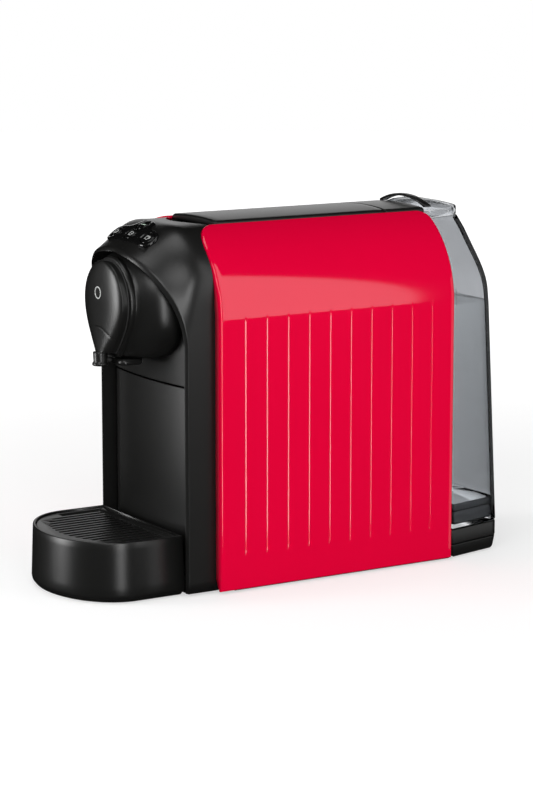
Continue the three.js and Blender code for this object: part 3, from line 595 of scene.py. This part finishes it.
def housing_point(v, t):
    """Point on the housing; t is 0 at its rear edge, 1 at the shoulder line and 3 at the front edge."""
    side, angle, rear, middle, front, mid_y, front_y = housing_section(v)
    x_rear, z_rear = rear
    a = (x_rear, SHOULDER_Y, z_rear)
    b = (middle[0], mid_y, middle[1])
    c = (front[0], front_y, front[1])
    if t <= 1:
        p = (x_rear, lerp(rear_limit(angle, x_rear), SHOULDER_Y, t), z_rear)
    else:
        start = (0.0, (b[1] - a[1]), 0.0)
        turn = tuple((c[k] - a[k]) * 0.5 for k in range(3))
        end = tuple((c[k] - b[k]) * 1.15 for k in range(3))
        p = hermite(a, b, start, turn, t - 1) if t <= 2 else hermite(b, c, turn, end, t - 2)
    return (side * p[0], p[1], p[2])


def rear_limit(angle, x):
    """How far back the housing runs: under the finger recess, or up to the side panel's edge."""
    if angle >= PANEL_TIP:
        return RECESS_Y + 15.4 * (x / 30.2) ** 2
    if angle <= 0:
        return PANEL_FRONT + 1.4
    if angle <= 0.35:
        return PANEL_FRONT + 1.4 - 1.85 * angle / 0.35
    return panel_front(ARC_START + PANEL_R * angle) - 0.45


def inner_line(v):
    """Point of the opening's own edge, inside and ahead of the housing's front edge."""
    side, angle, *_, front_y = housing_section(v)
    s, share = math.sin(angle), 1 - abs(v)
    z = EDGE_Z + INNER_RISE * s
    if share <= SIDE_SHARE:
        z = lerp(PANEL_FOOT, EDGE_Z, share / SIDE_SHARE)
    return (side * INNER_X / EDGE_X * edge_half(s), front_y - 1.6, z)


def front_housing():
    arch = [1 - SIDE_SHARE - (1 - SIDE_SHARE) * i / 26 for i in range(27)]
    shares = [1, 0.98, 0.93, 0.85, 0.75, 0.65, 0.57] + arch
    vs = shares + [-v for v in reversed(shares[:-1])]
    along = [0, 0.06, 0.3, 0.65, 1, 1.2, 1.4, 1.6, 1.8, 2, 2.2, 2.4, 2.6, 2.8, 2.93, 2.975]
    outer = []
    for v in vs:
        row = [housing_point(v, t) for t in along]
        edge, crest = Vector(housing_point(v, 3)), Vector(inner_line(v))
        across = (crest - edge).normalized()
        width = (crest - edge).length
        dull = 0.35
        row += [tuple(edge + across * dull * 0.15 + Vector((0, 0.12, 0))), tuple(edge + across * dull),
                tuple(edge + across * (width * 0.5)), tuple(crest - across * dull),
                tuple(crest + Vector((0, 0.1, 0))), (crest.x, crest.y + 0.5, crest.z)]
        row += [(crest.x, lerp(crest.y, -80, t), crest.z) for t in (0.15, 0.5, 1)]
        outer.append(row)
    loops = []
    for v, row in zip(vs, outer):
        middle = ARCH_Z - 25 if 1 - abs(v) > SIDE_SHARE else row[0][2]
        back = []
        for k in (3, 2, 1, 0):
            x, y, z = row[k]
            inward = Vector((-x, 0, middle - z)).normalized() * 2.0
            back.append((x + inward.x, y, z + inward.z))
        loops.append(row + back)
    return satin("housing_skin", lofted(loops), "machine", ("front_housing",))


def hood_height(x, y):
    """Height of the hood's skin above a point near the button row."""
    low, high = 0.0, 1 - SIDE_SHARE
    for _ in range(26):
        v = (low + high) / 2
        t0, t1 = 1.0, 3.0
        for _ in range(22):
            t = (t0 + t1) / 2
            if housing_point(v, t)[1] > y:
                t0 = t
            else:
                t1 = t
        if housing_point(v, t0)[0] > abs(x):
            high = v
        else:
            low = v
    return housing_point(low, t0)[2]


def on_slope(u, v, w=0.0):
    """Point of the sloping button plane: u to the right, v up the slope, w out of it."""
    up, out = math.sin(SLOPE), math.cos(SLOPE)
    return (u, PAD_Y + v * out - w * up, PAD_Z + v * up + w * out)


def slope_lift(u, v):
    """How far the hood's skin stands out of the button plane."""
    x, y, z = on_slope(u, v)
    return (hood_height(x, y) - z) * math.cos(SLOPE)


def trefoil(inset):
    """Outline of the button plate: a long lobe over three keys and a short one over the fourth."""
    spots = [(0, -7.2), (12, -7.3), (21.5, -7.6), (27.2, -5.4), (29.4, 0), (27.4, 5.2), (21.5, 7.4),
             (14.6, 8.2), (10.4, 10.8), (8.0, 15.2), (3.6, 16.8), (0, 17)]
    ring = spots + [(-x, y) for x, y in reversed(spots[1:-1])]
    count = len(ring)
    points = []
    for i in range(count):
        p0, p1, p2, p3 = (Vector(ring[(i + k) % count]) for k in (-1, 0, 1, 2))
        for j in range(5):
            t = j / 5
            points.append(0.5 * (2 * p1 + (p2 - p0) * t + (2 * p0 - 5 * p1 + 4 * p2 - p3) * t * t
                                 + (3 * p1 - p0 - 3 * p2 + p3) * t ** 3))
    out = []
    for i, p in enumerate(points):
        along = (points[(i + 1) % len(points)] - points[i - 1]).normalized()
        out.append((p.x - along.y * inset, p.y + along.x * inset))
    return out


def button_plate():
    centre = Vector((0, 2.5))
    lifts = {}

    def top(u, v):
        """Height of the plate's face over the button plane."""
        key = (round(u, 1), round(v, 1))
        if key not in lifts:
            lifts[key] = slope_lift(u, v)
        return max(0.62 * lifts[key] + 1.1, lifts[key] + 0.9)

    loops = []
    for inset, drop in ((0.15, None), (0, 0.85), (0.12, 0.4), (0.4, 0.12), (0.8, 0.0)):
        ring = []
        for u, v in trefoil(inset):
            w = slope_lift(u, v) - 0.6 if drop is None else top(u, v) - drop
            ring.append(on_slope(u, v, w))
        loops.append(ring)
    rim = trefoil(0.8)
    for share in (0.85, 0.65, 0.45, 0.25, 0.1):
        loops.append([on_slope(*(p := centre.lerp(Vector(q), share)), top(*p)) for q in rim])
    plate = finish_piece("button_plate", lofted(loops), "black_gloss", "machine", "black_gloss",
                         ("button_panel",))
    carve(plate, *[round_bar(u, v, -9, 9, KEY_R + 0.3, 40, on_slope) for _, u, v in KEYS])
    paint(plate, "black_gloss")
    for name, u, v in KEYS:
        loops = []
        middle = top(u, v)
        for r, w in ((KEY_R - 0.3, -4.5), (KEY_R, -4.2), (KEY_R, -0.15), (KEY_R - 0.15, 0.05),
                     (KEY_R - 0.5, 0.15), (KEY_R * 0.6, 0.1), (KEY_R * 0.3, 0.06), (0.4, 0.05)):
            ring = circle(u, v, r, 36)
            loops.append([on_slope(a, b, (top(a, b) if w > -1 else middle) + w) for a, b in ring])
        finish_piece(f"key_{name}", lofted(loops), "black_gloss", f"key_{name}", "black_gloss",
                     (f"button_{name}",))
        icon_for(name, u, v, lambda a, b: top(a, b) + 0.08)


def icon_for(name, u, v, height):
    """Thin printed mark on a key: a cup outline with its fill level, or a bar on the power key."""
    strokes = []
    if name == "power":
        strokes.append([(-2.6, 0.0), (2.6, 0.0)])
    else:
        cup = [(-2.0, 1.7), (-1.7, -1.4), (1.2, -1.4), (1.5, 1.7), (-2.0, 1.7)]
        handle = [(1.5, 1.0), (2.6, 0.9), (2.5, -0.3), (1.35, -0.6)]
        level = {"short": -0.5, "medium": 0.3, "long": 1.0}[name]
        strokes += [cup, handle, [(-1.8, level), (1.3, level)]]
    half = 0.34 if name == "power" else 0.2
    verts, faces = [], []
    for stroke in strokes:
        for (x0, y0), (x1, y1) in zip(stroke, stroke[1:]):
            along = Vector((x1 - x0, y1 - y0)).normalized()
            across = Vector((-along.y, along.x)) * half
            x0, y0 = x0 - along.x * half, y0 - along.y * half
            x1, y1 = x1 + along.x * half, y1 + along.y * half
            start = len(verts)
            for w in (0.0, 0.09):
                for x, y in ((x0 + across.x, y0 + across.y), (x0 - across.x, y0 - across.y),
                             (x1 - across.x, y1 - across.y), (x1 + across.x, y1 + across.y)):
                    verts.append(on_slope(u + x, v + y, height(u + x, v + y) + w))
            box = ((3, 2, 1, 0), (4, 5, 6, 7), (0, 1, 5, 4), (1, 2, 6, 5), (2, 3, 7, 6), (3, 0, 4, 7))
            faces += [tuple(start + i for i in face) for face in box]
    material = "lamp" if name == "power" else "icon"
    finish_piece(f"mark_{name}", (verts, faces), material, f"key_{name}", "white_plastic")


# ---- column, head, outlet
def column_front(x):
    return COLUMN_Y + COLUMN_BOW * (x / 57) ** 2


def column_skin():
    """Front sheet of the column: bowed across, its side edges and ends rounded backwards."""
    z_levels = [138.1, 138.3, 138.8, 150, 160, 170, 180, 190, 200, 207, 213, 217.5]
    us = [-1, -0.985, -0.95, -0.8, -0.55, -0.28, 0, 0.28, 0.55, 0.8, 0.95, 0.985, 1]
    thickness, round_by = 2.2, 0.5
    front, back = [], []
    for i, z in enumerate(z_levels):
        half = arch_half(z, 1.0)
        ends = round_by if i in (0, len(z_levels) - 1) else 0.0
        sides = [round_by if abs(u) == 1 else 0 for u in us]
        front.append([(half * u, column_front(half * u) + ends + add, z) for u, add in zip(us, sides)])
        back.append([(half * u, column_front(half * u) + thickness, z) for u in us])
    satin("column_skin", bridged(front, back), "machine", ("column_panel",))


def arch_half(z, inset):
    if z <= EDGE_Z:
        return INNER_X - inset
    share = (z - EDGE_Z) / (INNER_RISE - inset)
    return (INNER_X - inset) * max(1 - share ** EDGE_POWER, 0) ** (1 / EDGE_POWER)


def face_half(z):
    """Half width of the outlet cover: an oval above, drawn in to a neck at the spout."""
    if z >= FACE_Z:
        return FACE_W * math.sqrt(max(1 - ((z - FACE_Z) / 27) ** 2, 0))
    share = 0.5 + 0.5 * math.cos(math.pi * (FACE_Z - z) / 37)
    return FACE_NECK + (FACE_W - FACE_NECK) * share ** 0.47


def outline_of(inside, reach, rounds, count=72):
    """Outline at equal angles round the outlet cover's middle; inside(x, z) says what it encloses."""
    points = []
    for i in range(count):
        a = 2 * math.pi * i / count
        dx, dz = math.sin(a), math.cos(a)
        near, far = 0.0, reach
        for _ in range(rounds):
            r = (near + far) / 2
            near, far = (r, far) if inside(r * dx, FACE_MID + r * dz) else (near, r)
        points.append((near * dx, FACE_MID + near * dz))
    return points


def face_ring():
    return outline_of(lambda x, z: 158.4 < z < 220 and abs(x) < face_half(z), 40.0, 24)


def oval_ring(half, low, high, power=2.4):
    """Superellipse at the same angles as the cover's outline."""
    middle, tall = (low + high) / 2, (high - low) / 2

    def inside(x, z):
        return (abs(x) / half) ** power + (abs(z - middle) / tall) ** power < 1

    return outline_of(inside, 80.0, 28)


def head():
    face = face_ring()

    def blend_ring(y, share, grow, half, low, high, power=2.4):
        """Outline between the grown outline of the cover and an oval."""
        ring = []
        for (fx, fz), (ox, oz) in zip(face, oval_ring(half, low, high, power)):
            fx, fz = fx * grow, FACE_MID + (fz - FACE_MID) * grow
            ring.append((lerp(fx, ox, share), y, lerp(fz, oz, share)))
        return ring

    stages = (
        (-117, 0, 0.9, 26, 157, 221), (-117, 0, 1.045, 26, 157, 221), (-116.74, 0, 1.062, 26, 157, 221),
        (-116.3, 0, 1.072, 27, 157, 221), (-115.26, 0, 1.082, 28, 157, 222),
        (-114.04, 0.03, 1.088, 29, 156, 222), (-113.52, 0.08, 1.075, 29.5, 156, 222),
        (-112.82, 0.15, 1.075, 30.5, 156, 223), (-110.82, 0.4, 1.1, 33, 155, 225),
        (-108.21, 0.68, 1.1, 35.5, 154.2, 226.3), (-104.29, 0.9, 1.1, 38.6, 153.7, 227),
        (-99.06, 1, 1.1, 41, 153.5, 226, 2.5), (-92.97, 1, 1.1, 42.4, 153.5, 223.5, 2.6),
        (-86, 1, 1.1, 43, 153.5, 221, 2.7),
    )
    satin("head_body", lofted([blend_ring(*stage) for stage in stages]), "machine",
          ("head_housing", "outlet_rim"))

    def block(z, inset):
        return [(x * (14 - inset), -107.5 + y * (9 - inset)) for x, y in round_rect(0.5)]

    levels = [(154.5, 0)] + [(z, i) for z, i in reversed(fillet(150.6, 154.4, 1.2, 0))][1:]
    satin("head_underblock", stacked(block, levels))


def round_rect(corner, count=6):
    """Unit square outline with rounded corners, anticlockwise."""
    points = []
    for cx, cy, start in ((1, 1, 0), (-1, 1, 90), (-1, -1, 180), (1, -1, 270)):
        for i in range(count + 1):
            a = math.radians(start + 90 * i / count)
            x = cx * (1 - corner) + corner * math.cos(a)
            points.append((x, cy * (1 - corner) + corner * math.sin(a)))
    return points


def outlet_cover():
    zs = [219.95, 219.6, 219, 218, 216.4, 214.4, 212] + steps(209, 180, 12)
    zs += steps(178, 166.5, 34) + [165, 163.5, 162, 160.5, 159.4]
    us = [math.sin(math.pi / 2 * i / 14) for i in range(-14, 15)]

    def seam(x):
        return 176.2 - 6.2 * (abs(x) / 15) ** 1.7

    def front(x, z, u):
        tall = max(1 - ((z - FACE_Z) / 27.6) ** 2, 0.0) if z > FACE_Z else 1.0
        bulge = 4.6 * tall ** 0.55 * (1 - abs(u) ** 2.6) ** 0.62
        spout = smooth_step((176 - z) / 14)
        y = COVER_Y - bulge - 0.4 * spout * (1 - u * u)
        near = abs(z - seam(x))
        return y + (0.45 * max(1 - near / 0.55, 0) if z < 177.5 else 0)

    rows, backs = [], []
    for z in zs:
        half = max(face_half(z), 0.6)
        rows.append([(half * u, front(half * u, z, u), z) for u in us])
        backs.append([(half * 0.985 * u, -117.7, FACE_MID + (z - FACE_MID) * 0.985) for u in us])
    satin("outlet_shield", bridged(rows, backs), "machine", ("outlet_cover",), bevel=0.35, segments=3,
          angle=50)
    ring = face_ring()
    loops = []
    for y, grow in ((-117.8, 0.93), (-117.8, 1.0), (-117.0, 1.0), (-117.0, 0.93)):
        loops.append([(x * grow, y, FACE_MID + (z - FACE_MID) * grow) for x, z in ring])
    finish_piece("shield_gap", lofted(loops), "dark_plastic", "machine", "black_satin")
    levels = [(159.3, 4.7), (158.6, 4.9), (153.2, 4.6), (152.4, 4.8), (151.9, 5.3), (151.2, 5.5),
              (150.5, 5.4), (150.1, 4.9), (150.0, 4.0), (150.6, 3.2), (153, 2.8)]
    satin("spout", stacked(lambda z, r: circle(0, SPOUT_Y, r, 32), levels), "machine", ("spout_nozzle",))


def plain_ring_mark():
    """Thin plain ring on the outlet cover."""
    loops = []
    for r, lift in ((3.4, -0.1), (3.4, 0.16), (3.6, 0.22), (4.0, 0.22), (4.2, 0.16), (4.2, -0.1)):
        loops.append([(x, MARK_Y - lift, z) for x, z in circle(0, MARK_Z, r, 40)])
    ring = lofted(loops + [loops[0]], (False, False))
    finish_piece("ring_mark", ring, "icon", "machine", "white_plastic")


# ---- lever and rear cover
def lever_top(x):
    """Height of the lever's crowned top."""
    return 246.2 - x * x / 600


def lever_end(x):
    """Radius of the lever's rear end about its shaft."""
    return 11.45 - 2.9 * (x / 30) ** 2


def strip_sections(profile_at):
    """Long strip from sections across it, its two upper edges rounded."""
    rounded = [STRIP_FLAT, 28.4, 29.0, 29.45, STRIP_X]
    xs = [-x for x in reversed(rounded)] + steps(-25, 25, 12) + rounded
    loops = []
    for x in xs:
        over = max(abs(x) - STRIP_FLAT, 0)
        dip = STRIP_ROUND - math.sqrt(max(STRIP_ROUND ** 2 - over * over, 0))
        loops.append([(x, y, z) for y, z in profile_at(x, lever_top(x) - dip)])
    return lofted(loops)


def round_end(r, top, shares):
    """Points round the shaft from the top surface (share 0) to the underside (share 1)."""
    start, stop = (math.asin((z - PIVOT_Z) / r) for z in (top, STRIP_UNDER))
    turns = [lerp(start, stop, share) for share in shares]
    return [(PIVOT_Y + r * math.cos(a), PIVOT_Z + r * math.sin(a)) for a in turns]


def lever():
    def profile(x, top):
        r, nose_y = lever_end(x), LEVER_FRONT + LEVER_NOSE
        nose = [(nose_y - LEVER_NOSE * math.sin(a), top - LEVER_NOSE + LEVER_NOSE * math.cos(a))
                for a in quarter(4)[::-1]]
        rear_y = round_end(r, top, (0,))[0][0]
        crest = [(lerp(nose_y, rear_y - 0.5, t), top) for t in (0.05, 0.35, 0.65, 0.97, 1)]
        under = [(lerp(PIVOT_Y, LEVER_FRONT + 3, t), STRIP_UNDER) for t in (0, 0.5, 1)]
        lip = [(LEVER_FRONT + 1.2, 241.2), (LEVER_FRONT + 0.2, 241.5), (LEVER_FRONT, 242.2)]
        return nose + crest + round_end(r, top, (0.12, 0.35, 0.7, 1)) + under + lip

    satin("lever_cap", strip_sections(profile), "lever", ("lever",))
    outline = [(-46, 241.9), (-46, 238.6), (-44.5, 236.4), (-41, 234.2), (-36, 233.4), (66, 233.2),
               (72, 234.4), (76, 236), (76, 241.9)]
    for label, side in (("left", -1), ("right", 1)):
        loops = [[(side * x, y, z) for y, z in outline] for x in (24.4, 26.4)]
        satin(f"lever_skirt_{label}", lofted(loops), "lever", bevel=0.4)
    loops = []
    for x, share in ((-26.3, 0.9), (-25.8, 1), (25.8, 1), (26.3, 0.9)):
        loops.append([(x, y, z) for y, z in circle(PIVOT_Y, PIVOT_Z, 4.9 * share, 32)])
    satin("lever_hub", lofted(loops), "lever")
    verts, faces = [], []
    for y in (-30, -5, 20, 45):
        section = ((y - 0.8, 241.8), (y + 0.8, 241.8), (y + 0.8, 237), (y - 0.8, 237))
        rib, sides = lofted([[(x, yy, z) for yy, z in section] for x in (-24.6, 24.6)])
        faces += [tuple(i + len(verts) for i in face) for face in sides]
        verts += rib
    satin("lever_ribs", (verts, faces), "lever", bevel=0.3)


def rear_cover():
    def profile(x, top):
        r = lever_end(x) + 0.4
        hollow = round_end(r, top, (1, 0.7, 0.35, 0.1))
        front_y = round_end(r, top, (0,))[0][0]
        crest = [(lerp(front_y + 0.4, 114.3, t), top) for t in (0, 0.03, 0.5, 0.97, 1)]
        return hollow + crest + [(115.0, top - 0.3), (115.2, top - 0.9), (115.2, STRIP_UNDER)]

    satin("rear_strip", strip_sections(profile), "machine", ("top_rear_cover",))


# ---- drip drawer
def tray_line(x, inset):
    """Front of the tray's outline at a distance from its middle."""
    share = math.sqrt(max(1 - (x / (TRAY_X - inset)) ** 2, 0))
    return TRAY_SHOULDER + (TRAY_FRONT + inset - TRAY_SHOULDER) * share


def tray_plan(inset, rear=TRAY_REAR, count=48):
    half = TRAY_X - inset
    front = [half * math.cos(math.pi * i / count) for i in range(count + 1)]
    return [(half, rear)] + [(x, tray_line(x, inset)) for x in front] + [(-half, rear)]


def drip_drawer():
    def plan(z, inset):
        return tray_plan(inset, TRAY_REAR - min(inset, 2.2))

    foot = [(0.8, 4.6), (0.85, 3.6), (1.2, 2.7), (1.9, 2.0), (2.9, 1.5), (3.3, 1.35), (3.5, 0.75), (3.9, 0.5)]
    wall = [(6, 0.1), (12, 0.3), (24, 0.75), (36, 1.2)]
    rim = [(TRAY_TOP - 0.7, 1.4), (TRAY_TOP - 0.2, 1.6), (TRAY_TOP, 2.0)]
    inner = [(TRAY_TOP, 2.7), (TRAY_TOP - 0.2, 3.1), (TRAY_TOP - 0.6, 3.3), (33, 3.4), (7, 3.6), (4.2, 4.4),
             (3.2, 7)]
    satin("tray_pan", shell(plan, foot + wall + rim, inner), "drawer", ("drip_tray",))
    corner = [(50, -13), (-50, -13), (-50, -34), (-47, -40)]
    outline = [(-47, -96), (47, -96), (47, -40), (50, -34)] + corner
    satin("tray_tongue", lofted([[(x, y, z) for x, y in outline] for z in (11.2, 13)]), "drawer", bevel=0.5)

    def grid_plan(z, inset):
        return tray_plan(3.7 + inset, TRAY_REAR - 2.6 - inset)

    plate = stacked(grid_plan, fillet(GRID_TOP - 2, GRID_TOP, 0.2, 0.7))
    grid = satin("cup_grid", plate, "grid", ("drip_grid",))
    slots = []
    for i in range(SLOTS):
        x = (i - (SLOTS - 1) / 2) * SLOT_PITCH
        ring = []
        for y, start in ((tray_line(x, 12.5) + SLOT_HALF, 180), (-105.0, 0)):
            turns = [math.radians(start + 30 * k) for k in range(7)]
            ring += [(x + SLOT_HALF * math.cos(a), y + SLOT_HALF * math.sin(a)) for a in turns]
        slots.append(lofted([[(px, py, z) for px, py in ring] for z in (GRID_TOP - 4, GRID_TOP + 2)]))
    carve(grid, *slots)
    paint(grid, "black_satin")

    def rest_plan(z, inset):
        return tray_plan(3.7 + inset, TRAY_REAR - 2.5 - inset)

    ledge = stacked(rest_plan, [(35, 0), (37.7, 0), (37.7, 2), (35, 2), (35, 0)], (False, False))
    satin("grid_ledge", ledge, "drawer", ("grid_rest",))

    def bin_plan(z, inset):
        front = [(54 - inset) * (1 - 2 * i / 16) for i in range(17)]
        points = [(x, column_front(x) + inset) for x in front]
        return points + [(-54 + inset, -14 - inset), (54 - inset, -14 - inset)]

    inner = [(BIN_TOP - 0.2, 1.8), (60, 1.9), (15.6, 2.2)]
    satin("used_bin", shell(bin_plan, fillet(13.4, BIN_TOP, 1.5, 0.5), inner), "drawer", ("capsule_bin",))


# ---- tank, lid, dock and base
def tank_rear(z):
    """Rear of the tank: a slight draft up to its shoulder, then a soft step forwards."""
    turn = math.pi / 2 * min(max(z - STEP_Z, 0) / STEP_RUN, 1)
    draft = DRAFT * (min(z, DRAFT_TOP) - TANK_LOW) / (DRAFT_TOP - TANK_LOW)
    return TANK_REAR - draft - STEP_IN * math.sin(turn) ** 2


def tank_half(z):
    return TANK_W if z <= ARCH_Z else math.sqrt(TANK_ARCH_R ** 2 - (z - ARCH_Z) ** 2) - 0.2


def upper_share(z):
    """How far a height lies up the tank's curved upper part, from 0 to 1."""
    return max((z - 180) / 58, 0)


def tank_corner(z, inset, start=6, stop=82, count=12):
    """Rear corner of the tank's plan on the right, from its side towards the back."""
    half, rear = tank_half(z) - inset, tank_rear(z) - inset
    r = TANK_CORNER + CORNER_GROWTH * upper_share(z) - inset
    turns = [math.radians(lerp(start, stop, i / count)) for i in range(count + 1)]
    x, y = half * TANK_TAPER - r, rear - 1.2 - r
    return [(x + r * math.cos(a), y + r * math.sin(a)) for a in turns]


def tank_plan(z, inset):
    half, rear, front = tank_half(z) - inset, tank_rear(z) - inset, TANK_FRONT + inset
    corner = tank_corner(z, inset)
    (xc, yc), (xr, _) = corner[0], corner[-1]
    side = [(lerp(half, xc, t), lerp(front, yc, t)) for t in (0, 0.02, 0.35, 0.7)] + corner
    side += [(xr * k, rear - 0.95 * k * k) for k in (0.8, 0.5, 0.2)]
    return side + [(0.0, rear)] + [(-x, y) for x, y in reversed(side)]


def tank():
    straight = [42, 70, 110, 150, 178]
    heights = [26, 40] + straight[1:] + steps(185, 230, 12)
    top = [(237.4, 0), (TANK_TOP - 0.2, 0.2), (TANK_TOP, 0.6)]
    outer = fillet(TANK_LOW, 24, 1.2, 0, 3)[:-1] + [(z, 0) for z in heights] + top
    inner = [(TANK_TOP, 1.4), (237.6, 1.9)] + [(z, 2) for z in reversed(heights)] + [(25.2, 2.4), (24.4, 3.4)]
    wall = shell(tank_plan, outer, inner)
    finish_piece("tank_shell", wall, "smoke_clear", "tank", "smoke_clear", ("water_tank",))
    # Painted shade: black strips set inside the clear wall's rear corners stand in for the dark line the wall
    # shows when seen on edge.
    for side, label in ((1, "right"), (-1, "left")):
        loops = []
        for z in [TANK_LOW + 1.5] + heights[1:] + [234, 237]:
            start = 12 + 10 * upper_share(z)
            ring = tank_corner(z, 0.35, start) + list(reversed(tank_corner(z, 1.65, start)))
            loops.append([(side * x, y, z) for x, y in ring])
        finish_piece(f"tank_corner_{label}", lofted(loops), "black_gloss", "tank", "black_gloss")
    surface = [(WATER_Z - 0.6, 2.25), (WATER_Z, 2.05)]
    water = [(39.2, 2.6)] + [(z, 2.25) for z in straight] + surface
    sump = [(24.7, 3.2), (25.4, 2.5), (33.2, 2.5), (33.6, 2.9)]
    floor = [(34.3, 2.9), (34.6, 2.5), (38.4, 2.5), (38.8, 2.9)]
    for name, material, levels in (("water_fill", "water", water), ("tank_sump", "smoke_dark", sump),
                                   ("tank_floor", "smoke_dark", floor)):
        finish_piece(name, stacked(tank_plan, levels), material, "tank", "smoke_clear")


def lid_height(x, y):
    """Top of the lid: its profile from front to rear, blended into the arch of the body's sides."""
    run = ((116.5, 249.8), (126, 249.3), (134, 248.4), (141, 247), (146, 245.3), (148.4, 243),
           (149.6, 239.8))
    z = run[-1][1]
    for (ya, za), (yb, zb) in zip(run, run[1:]):
        if ya <= y <= yb:
            z = lerp(za, zb, (y - ya) / (yb - ya))
            break
    arch = ARCH_Z + math.sqrt(max(66.9 ** 2 - x * x, 0))
    sharp, level = 1.1, 240
    return level - math.log(math.exp(-(z - level) * sharp) + math.exp(-(arch - level) * sharp)) / sharp


def lid():
    base = tank_plan(TANK_TOP, 0.3)
    centre = Vector((0, 131.5))

    def ring_at(share, fall, floor):
        """Outline drawn in towards the centre, laid a little under the lid's top."""
        ring = []
        for x, y in base:
            p = centre.lerp(Vector((x, y)), share)
            ring.append((p.x, p.y, max(lid_height(p.x, p.y) - fall, TANK_TOP + floor)))
        return ring

    edge = [(x, y, TANK_TOP + 0.6) for x, y in base]
    falls = ((1.0, 0.9), (0.985, 0.25), (0.95, 0.05), (0.88, 0), (0.75, 0), (0.55, 0), (0.3, 0), (0.08, 0))
    outer = [edge] + [ring_at(share, fall, 0.9) for share, fall in falls]
    inner = [ring_at(share, 1.8, 0.75) for share in (0.08, 0.5, 0.8, 0.93)]
    rim = [(lerp(centre.x, x, 0.93), lerp(centre.y, y, 0.93), TANK_TOP + 0.6) for x, y in base]
    dome = lofted(inner + [rim] + outer)
    finish_piece("lid_shell", dome, "smoke_clear", "lid", "smoke_clear", ("tank_lid",))
    loops = []
    rise = [math.radians(66.2 + 47.6 * i / 32) for i in range(33)]
    fall = [math.radians(113.8 - 47.6 * i / 32) for i in range(33)]
    for y, grow in ((116.5, -0.5), (116.7, -0.1), (117.2, 0), (120.5, 0), (122, -0.35), (122.5, -0.9)):
        runs = ((LIP_R + grow, rise), (LIP_R - 1.65, fall))
        loops.append([(r * math.cos(a), y, ARCH_Z + r * math.sin(a)) for r, turns in runs for a in turns])
    satin("lid_lip", lofted(loops), "lid", ("lid_tab",))


def dock_and_base():
    def dock(z, inset):
        return tank_plan(TANK_LOW, 0.2 + inset)

    dock_piece = satin("dock_rim", stacked(dock, fillet(10.9, 21.3, 0.7, 0.7, 3)), "machine", ("tank_dock",))
    carve(dock_piece, round_bar(0, 141, 13.9, 30, 9, 32))
    paint(dock_piece, "black_satin")

    def rear_base(z, inset):
        return tank_plan(TANK_LOW, 0.3 + inset)

    levels = [(1.0, 4.0), (1.3, 3.0), (2.2, 2.0), (3.4, 1.5), (9.8, 0.2), (10.2, 0.2), (10.4, 0.6)]
    satin("base_rear", stacked(rear_base, levels))

    def body_base(z, inset):
        right = [(57.4, -91.6), (57.4, -60), (64.8, -60), (64.8, 115.5)]
        outline = [(-57.4, -91.6)] + right + [(-64.8, 115.5), (-64.8, -60), (-57.4, -60)]
        middle = Vector((0, 12))
        return [tuple(Vector(p) + (middle - Vector(p)).normalized() * inset) for p in outline]

    satin("base_pan", stacked(body_base, fillet(1.0, 10.4, 1.0, 0.3, 3)), "machine", ("base_plate",))
    levels = [(0.25, 5.5), (0.0, 4.8), (0.0, 1.0), (0.3, 0.3), (0.8, 0), (3.9, 0), (4.0, 0.3)]
    for i, (x, y) in enumerate(((-46, -78), (46, -78), (46, 146), (-46, 146))):
        pad = stacked(lambda z, inset: circle(x, y, FOOT_R - inset, 36), levels)
        finish_piece(f"pad_{i + 1}", pad, "rubber", "machine", "rubber", (f"foot_{i + 1}",))


def carried_over():
    """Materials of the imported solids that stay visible."""
    nodes_of = {
        "aluminium": ("brew_frame", "thermoblock"),
        "black_satin": ("rear_wall",),
        "board": ("control_board",),
        "dark_plastic": ("lever_deck", "capsule_chute", "brew_carriage", "injector_head"),
        "rubber": ("pump_mount_front", "pump_mount_rear", "cord_gland"),
        "silicone": ("injector_seal", "outlet_funnel", "hose_tank", "hose_meter", "hose_pump", "hose_boiler",
                     "dock_coupling"),
        "steel": ("lever_shaft", "lever_crank_left", "lever_crank_right", "water_needles", "pump"),
        "white_plastic": ("thermostat", "flow_meter", "tank_valve", "tank_filter"),
    }
    for material, nodes in nodes_of.items():
        for node in nodes:
            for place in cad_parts[node].material_slots:
                place.material = MATERIALS[material]


MATERIALS = make_materials()
make_camera()
make_stage()
side_panel("left", -1)
side_panel("right", 1)
housing = front_housing()
carve(housing, *[round_bar(u, v, -12, 9, KEY_R + 0.5, 32, on_slope) for _, u, v in KEYS])
button_plate()
column_skin()
head()
outlet_cover()
plain_ring_mark()
lever()
rear_cover()
drip_drawer()
tank()
lid()
dock_and_base()
carried_over()
